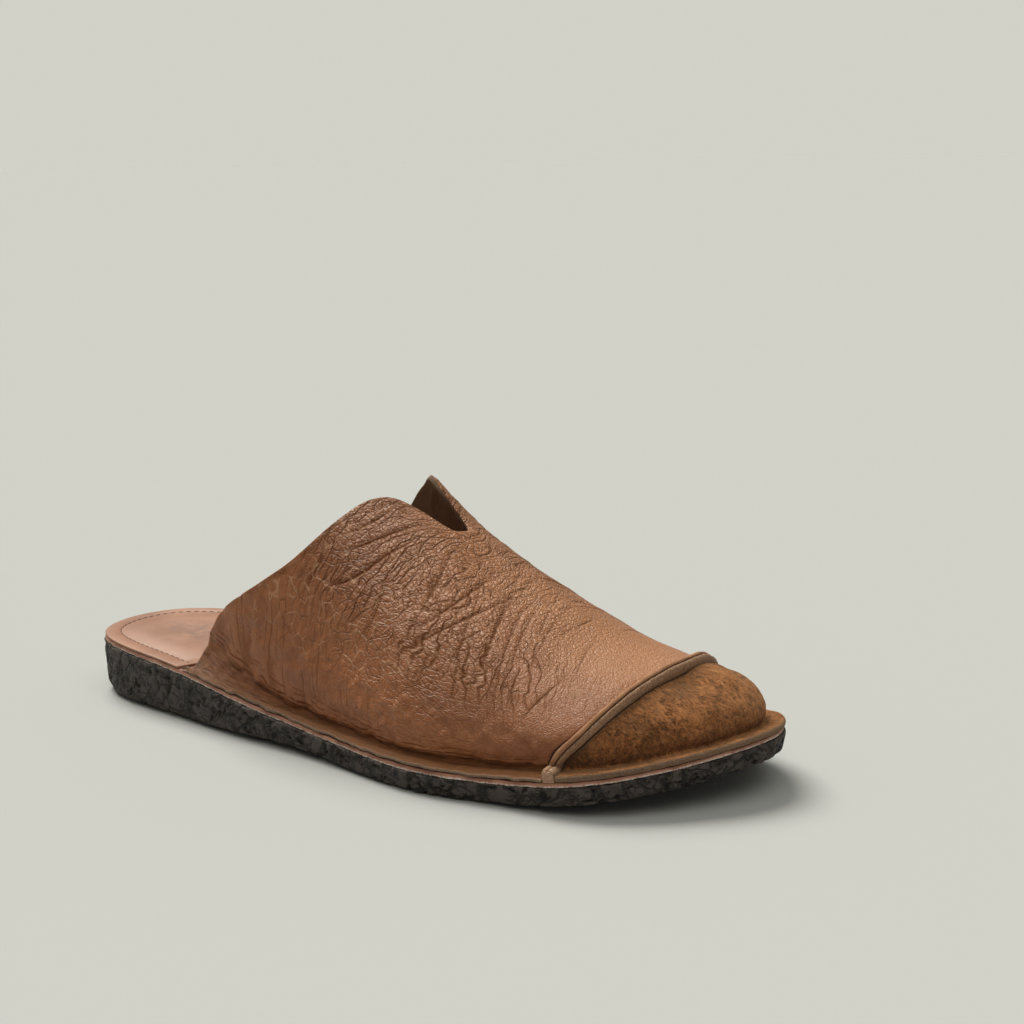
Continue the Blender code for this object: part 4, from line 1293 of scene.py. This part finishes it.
def build_toe_seam():
    flange, bend, wall = np.linspace(0, 1, 12), np.linspace(1, 2, 14), np.linspace(2, 3, 90)
    places = np.concatenate([flange, bend[1:], wall[1:]])
    eps = 1.5
    centres = []
    for side, cs in ((-1, places), (1, places[:-1][::-1])):
        at = seam_station(side, cs)
        grow = shell(at + eps, side, cs) - shell(at - eps, side, cs)
        centres.append(np.concatenate([shell(at, side, cs), unit(grow)], axis=1))
    both = np.vstack(centres)
    line, grow = both[:, :3], both[:, 3:]
    for _ in range(30):
        line[1:-1] = (line[:-2] + 2 * line[1:-1] + line[2:]) / 4
    along = unit(np.gradient(line, axis=0))
    across = unit(grow - along * np.sum(grow * along, axis=1)[:, None])
    normal = unit(np.cross(across, along))
    for _ in range(24):
        normal[1:-1] = unit(normal[:-2] + 2 * normal[1:-1] + normal[2:])
    length = np.concatenate([[0], np.cumsum(np.linalg.norm(np.diff(line, axis=0), axis=1))])
    wobble = lumps(line, 0.12, 9.1, 2)
    sections = []
    bands = []
    tabs = []
    total = length[-1]
    for i in range(len(line)):
        ends = min(length[i], total - length[i])
        rise = SEAM_RISE * (0.82 + 0.18 * soft(ends, 8.0, 30.0)) + 0.25 * wobble[i]
        wide = SEAM_HALF_WIDE * (1 + 0.05 * wobble[i])
        up = SEAM_SECTION[:, 1] * np.where(SEAM_SECTION[:, 1] > 0, rise, SEAM_DEPTH)
        sideways = np.outer(SEAM_SECTION[:, 0] * wide, across[i])
        sections.append(line[i] + sideways + np.outer(up, normal[i]))
        bands.append(SEAM_SECTION[:, 0] * 0.5 + 0.5)
        tabs.append(np.full(len(SEAM_SECTION), 1 - soft(ends, 5.0, 9.0)))
    p = np.array(sections)
    fuzz = lumps(p, 0.9, 4.4, 2) * np.interp(SEAM_SECTION[:, 0], (0.0, 0.3), (0.12, 0.38))
    p = p + fuzz[..., None] * normal[:, None]
    rows, cols = p.shape[:2]
    ids = np.arange(rows * cols).reshape(rows, cols)
    nxt = np.roll(ids, -1, axis=1)
    faces = np.stack([ids[:-1], nxt[:-1], nxt[1:], ids[1:]], axis=-1).reshape(-1, 4).tolist()
    points = [p.reshape(-1, 3)]
    band = [np.array(bands).ravel()]
    tab = [np.array(tabs).ravel()]
    start = rows * cols
    for row, way in ((0, -1), (rows - 1, 1)):
        middle = p[row].mean(axis=0)
        ring_ids = ids[row]
        for shrink, push in SEAM_END:
            ring = middle + (p[row] - middle) * shrink + along[row] * push * way
            points.append(ring)
            band.append(np.array(bands)[row])
            tab.append(np.ones(cols))
            new = np.arange(start, start + cols)
            start += cols
            for j in range(cols):
                k = (j + 1) % cols
                quad = (int(ring_ids[j]), int(ring_ids[k]), int(new[k]), int(new[j]))
                faces.append(quad if way < 0 else quad[::-1])
            ring_ids = new
    faces = [f[::-1] for f in faces]
    named = {"band": np.concatenate(band), "tab": np.concatenate(tab)}
    obj = mesh_piece("toe_seam_edges", np.vstack(points), faces, named)
    obj.data.materials.append(edge_material())
    return fitted(obj, "toe_seam")


toe_seam = build_toe_seam()


# Insole stitches
# Waxed dark thread: one row of short stitches round the heel of the insole,
# lying in its groove.

STITCH_LENGTH = 2.8
STITCH_GAP = 0.35
THREAD_RADIUS = 0.27
STITCH_INSET = 5.9
STITCH_ROWS = 6  # sections along a stitch, and points round each

THREAD_DARK = (0.050, 0.024, 0.013)
THREAD_PALE = (0.15, 0.075, 0.042)


def thread_material():
    material, tree, shader = new_material("dark_thread")
    twist = cloud(tree, scaled(tree, millimetres(tree), (3.0, 3.0, 3.0)), 1.0, 2.0)
    base = blend(tree, twist, THREAD_DARK, THREAD_PALE)
    tree.links.new(base, shader.inputs["Base Color"])
    shader.inputs["Roughness"].default_value = 0.6
    return material


def stitch_row(name, points):
    """Short capsules along a line, each sunk a little at its ends."""
    run = np.concatenate([[0], np.cumsum(np.linalg.norm(np.diff(points, axis=0), axis=1))])
    up = np.array([0.0, 0.0, 1.0])
    arch = np.sin(np.linspace(0, math.pi, STITCH_ROWS))
    verts = []
    faces = []
    at = 0.0
    while at + STITCH_LENGTH < run[-1]:
        ts = np.linspace(at, at + STITCH_LENGTH, STITCH_ROWS)
        p = np.stack([np.interp(ts, run, points[:, k]) for k in range(3)], axis=1)
        across = unit(np.cross(unit(np.gradient(p, axis=0)), up))
        base = len(verts)
        for i in range(STITCH_ROWS):
            r = THREAD_RADIUS * (0.55 + 0.45 * arch[i])
            centre = p[i] + up * (arch[i] * 0.9 - 0.35) * THREAD_RADIUS
            for k in range(STITCH_ROWS):
                a = 2 * math.pi * k / STITCH_ROWS
                verts.append(centre + across[i] * math.cos(a) * r + up * math.sin(a) * r)
        last = base + STITCH_ROWS * (STITCH_ROWS - 1)
        for start in range(base, last, STITCH_ROWS):
            above = start + STITCH_ROWS
            for k in range(STITCH_ROWS):
                m = (k + 1) % STITCH_ROWS
                faces.append((start + k, start + m, above + m, above + k))
        faces.append(tuple(base + k for k in range(STITCH_ROWS))[::-1])
        faces.append(tuple(last + k for k in range(STITCH_ROWS)))
        at += STITCH_LENGTH + STITCH_GAP
    obj = mesh_piece(name, np.array(verts), faces)
    obj.data.materials.append(thread_material())
    return obj


thread_line = outline_ring(INSOLE_ROWS, FLANGE_SETBACK + STITCH_INSET)
thread_height = bed_height(thread_line[:, 0]) + INSOLE_THICK - 0.05
# The ring starts at the heel; from the toe on, the heel is one unbroken run.
thread_line = np.roll(with_height(thread_line, thread_height), INSOLE_ROWS, axis=0)
thread_line = thread_line[thread_line[:, 0] < UPPER_START - 1.0]
heel_stitches = stitch_row("insole_stitches", thread_line)
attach(heel_stitches, "root")


# Studio
# A pale warm floor that runs to the horizon, soft light from the upper left,
# and the camera of the photograph.

BACKDROP = (0.640, 0.640, 0.580)
FLOOR_SHARE = 0.42
AMBIENT = 0.42
FLOOR_REACH = 60.0
PICTURE = 1024
CAMERA_TURN = 36.467
CAMERA_RISE = 10.706
CAMERA_ROLL = -1.024
CAMERA_TARGET = (100.82, 120.72, 55.92)
CAMERA_BACK = 0.78993
FOCAL_PIXELS = 1897.87
SENSOR_WIDTH = 36.0


def build_studio():
    """Floor and world of one brightness, so that no horizon shows."""
    material, _, shader = new_material("studio_floor")
    shader.inputs["Base Color"].default_value = (FLOOR_SHARE, FLOOR_SHARE, FLOOR_SHARE, 1.0)
    shader.inputs["Roughness"].default_value = 1.0
    shader.inputs["Specular IOR Level"].default_value = 0.0
    mesh = bpy.data.meshes.new("floor")
    far = FLOOR_REACH
    corners = [(-far, -far, 0), (far, -far, 0), (far, far, 0), (-far, far, 0)]
    mesh.from_pydata(corners, [], [(0, 1, 2, 3)])
    floor = bpy.data.objects.new("floor", mesh)
    bpy.context.scene.collection.objects.link(floor)
    floor.data.materials.append(material)
    world = bpy.data.worlds.new("studio_world")
    bpy.context.scene.world = world
    world.use_nodes = True
    background = world.node_tree.nodes["Background"]
    background.inputs["Color"].default_value = (*BACKDROP, 1.0)
    path = add(world.node_tree, "ShaderNodeLightPath")
    seen = path.outputs["Is Camera Ray"]
    level = calc(world.node_tree, "MULTIPLY_ADD", seen, 1 - AMBIENT, AMBIENT)
    world.node_tree.links.new(level, background.inputs["Strength"])


def sun(name, toward, share, angle):
    """A soft distant light that gives the floor this share of its direct light."""
    toward = Vector(toward).normalized()
    data = bpy.data.lights.new(name, "SUN")
    direct = (1 / FLOOR_SHARE - AMBIENT) * BACKDROP[0] * math.pi * share
    data.energy = direct / toward.z
    data.color = tuple(c / BACKDROP[0] for c in BACKDROP)
    data.angle = math.radians(angle)
    lamp = bpy.data.objects.new(name, data)
    lamp.rotation_euler = toward.to_track_quat("Z", "Y").to_euler()
    bpy.context.scene.collection.objects.link(lamp)


def build_camera():
    """The camera fitted to the photograph."""
    a, e, roll = (math.radians(v) for v in (CAMERA_TURN, CAMERA_RISE, CAMERA_ROLL))
    back = Vector((math.sin(a) * math.cos(e), -math.cos(a) * math.cos(e), math.sin(e)))
    right = Vector((math.cos(a), math.sin(a), 0.0))
    up = back.cross(right)
    right_r = math.cos(roll) * right + math.sin(roll) * up
    up_r = -math.sin(roll) * right + math.cos(roll) * up
    target = (np.array(CAMERA_TARGET) - ORIGIN) * 0.001
    data = bpy.data.cameras.new("camera")
    data.sensor_width = SENSOR_WIDTH
    data.lens = FOCAL_PIXELS / PICTURE * SENSOR_WIDTH
    data.clip_start = 0.05
    data.clip_end = 50
    camera = bpy.data.objects.new("camera", data)
    place = Vector(target) + back * CAMERA_BACK
    matrix = [[right_r[i], up_r[i], back[i], place[i]] for i in range(3)] + [[0, 0, 0, 1]]
    camera.matrix_world = Matrix(matrix)
    bpy.context.scene.collection.objects.link(camera)
    bpy.context.scene.camera = camera


build_studio()
sun("key_light", (-0.62, 0.22, 1.0), 0.78, 36.0)
sun("side_light", (0.30, -0.30, 0.9), 0.22, 60.0)
build_camera()
scene = bpy.context.scene
scene.render.engine = "CYCLES"
scene.render.resolution_x = PICTURE
scene.render.resolution_y = PICTURE
scene.view_settings.view_transform = "Standard"
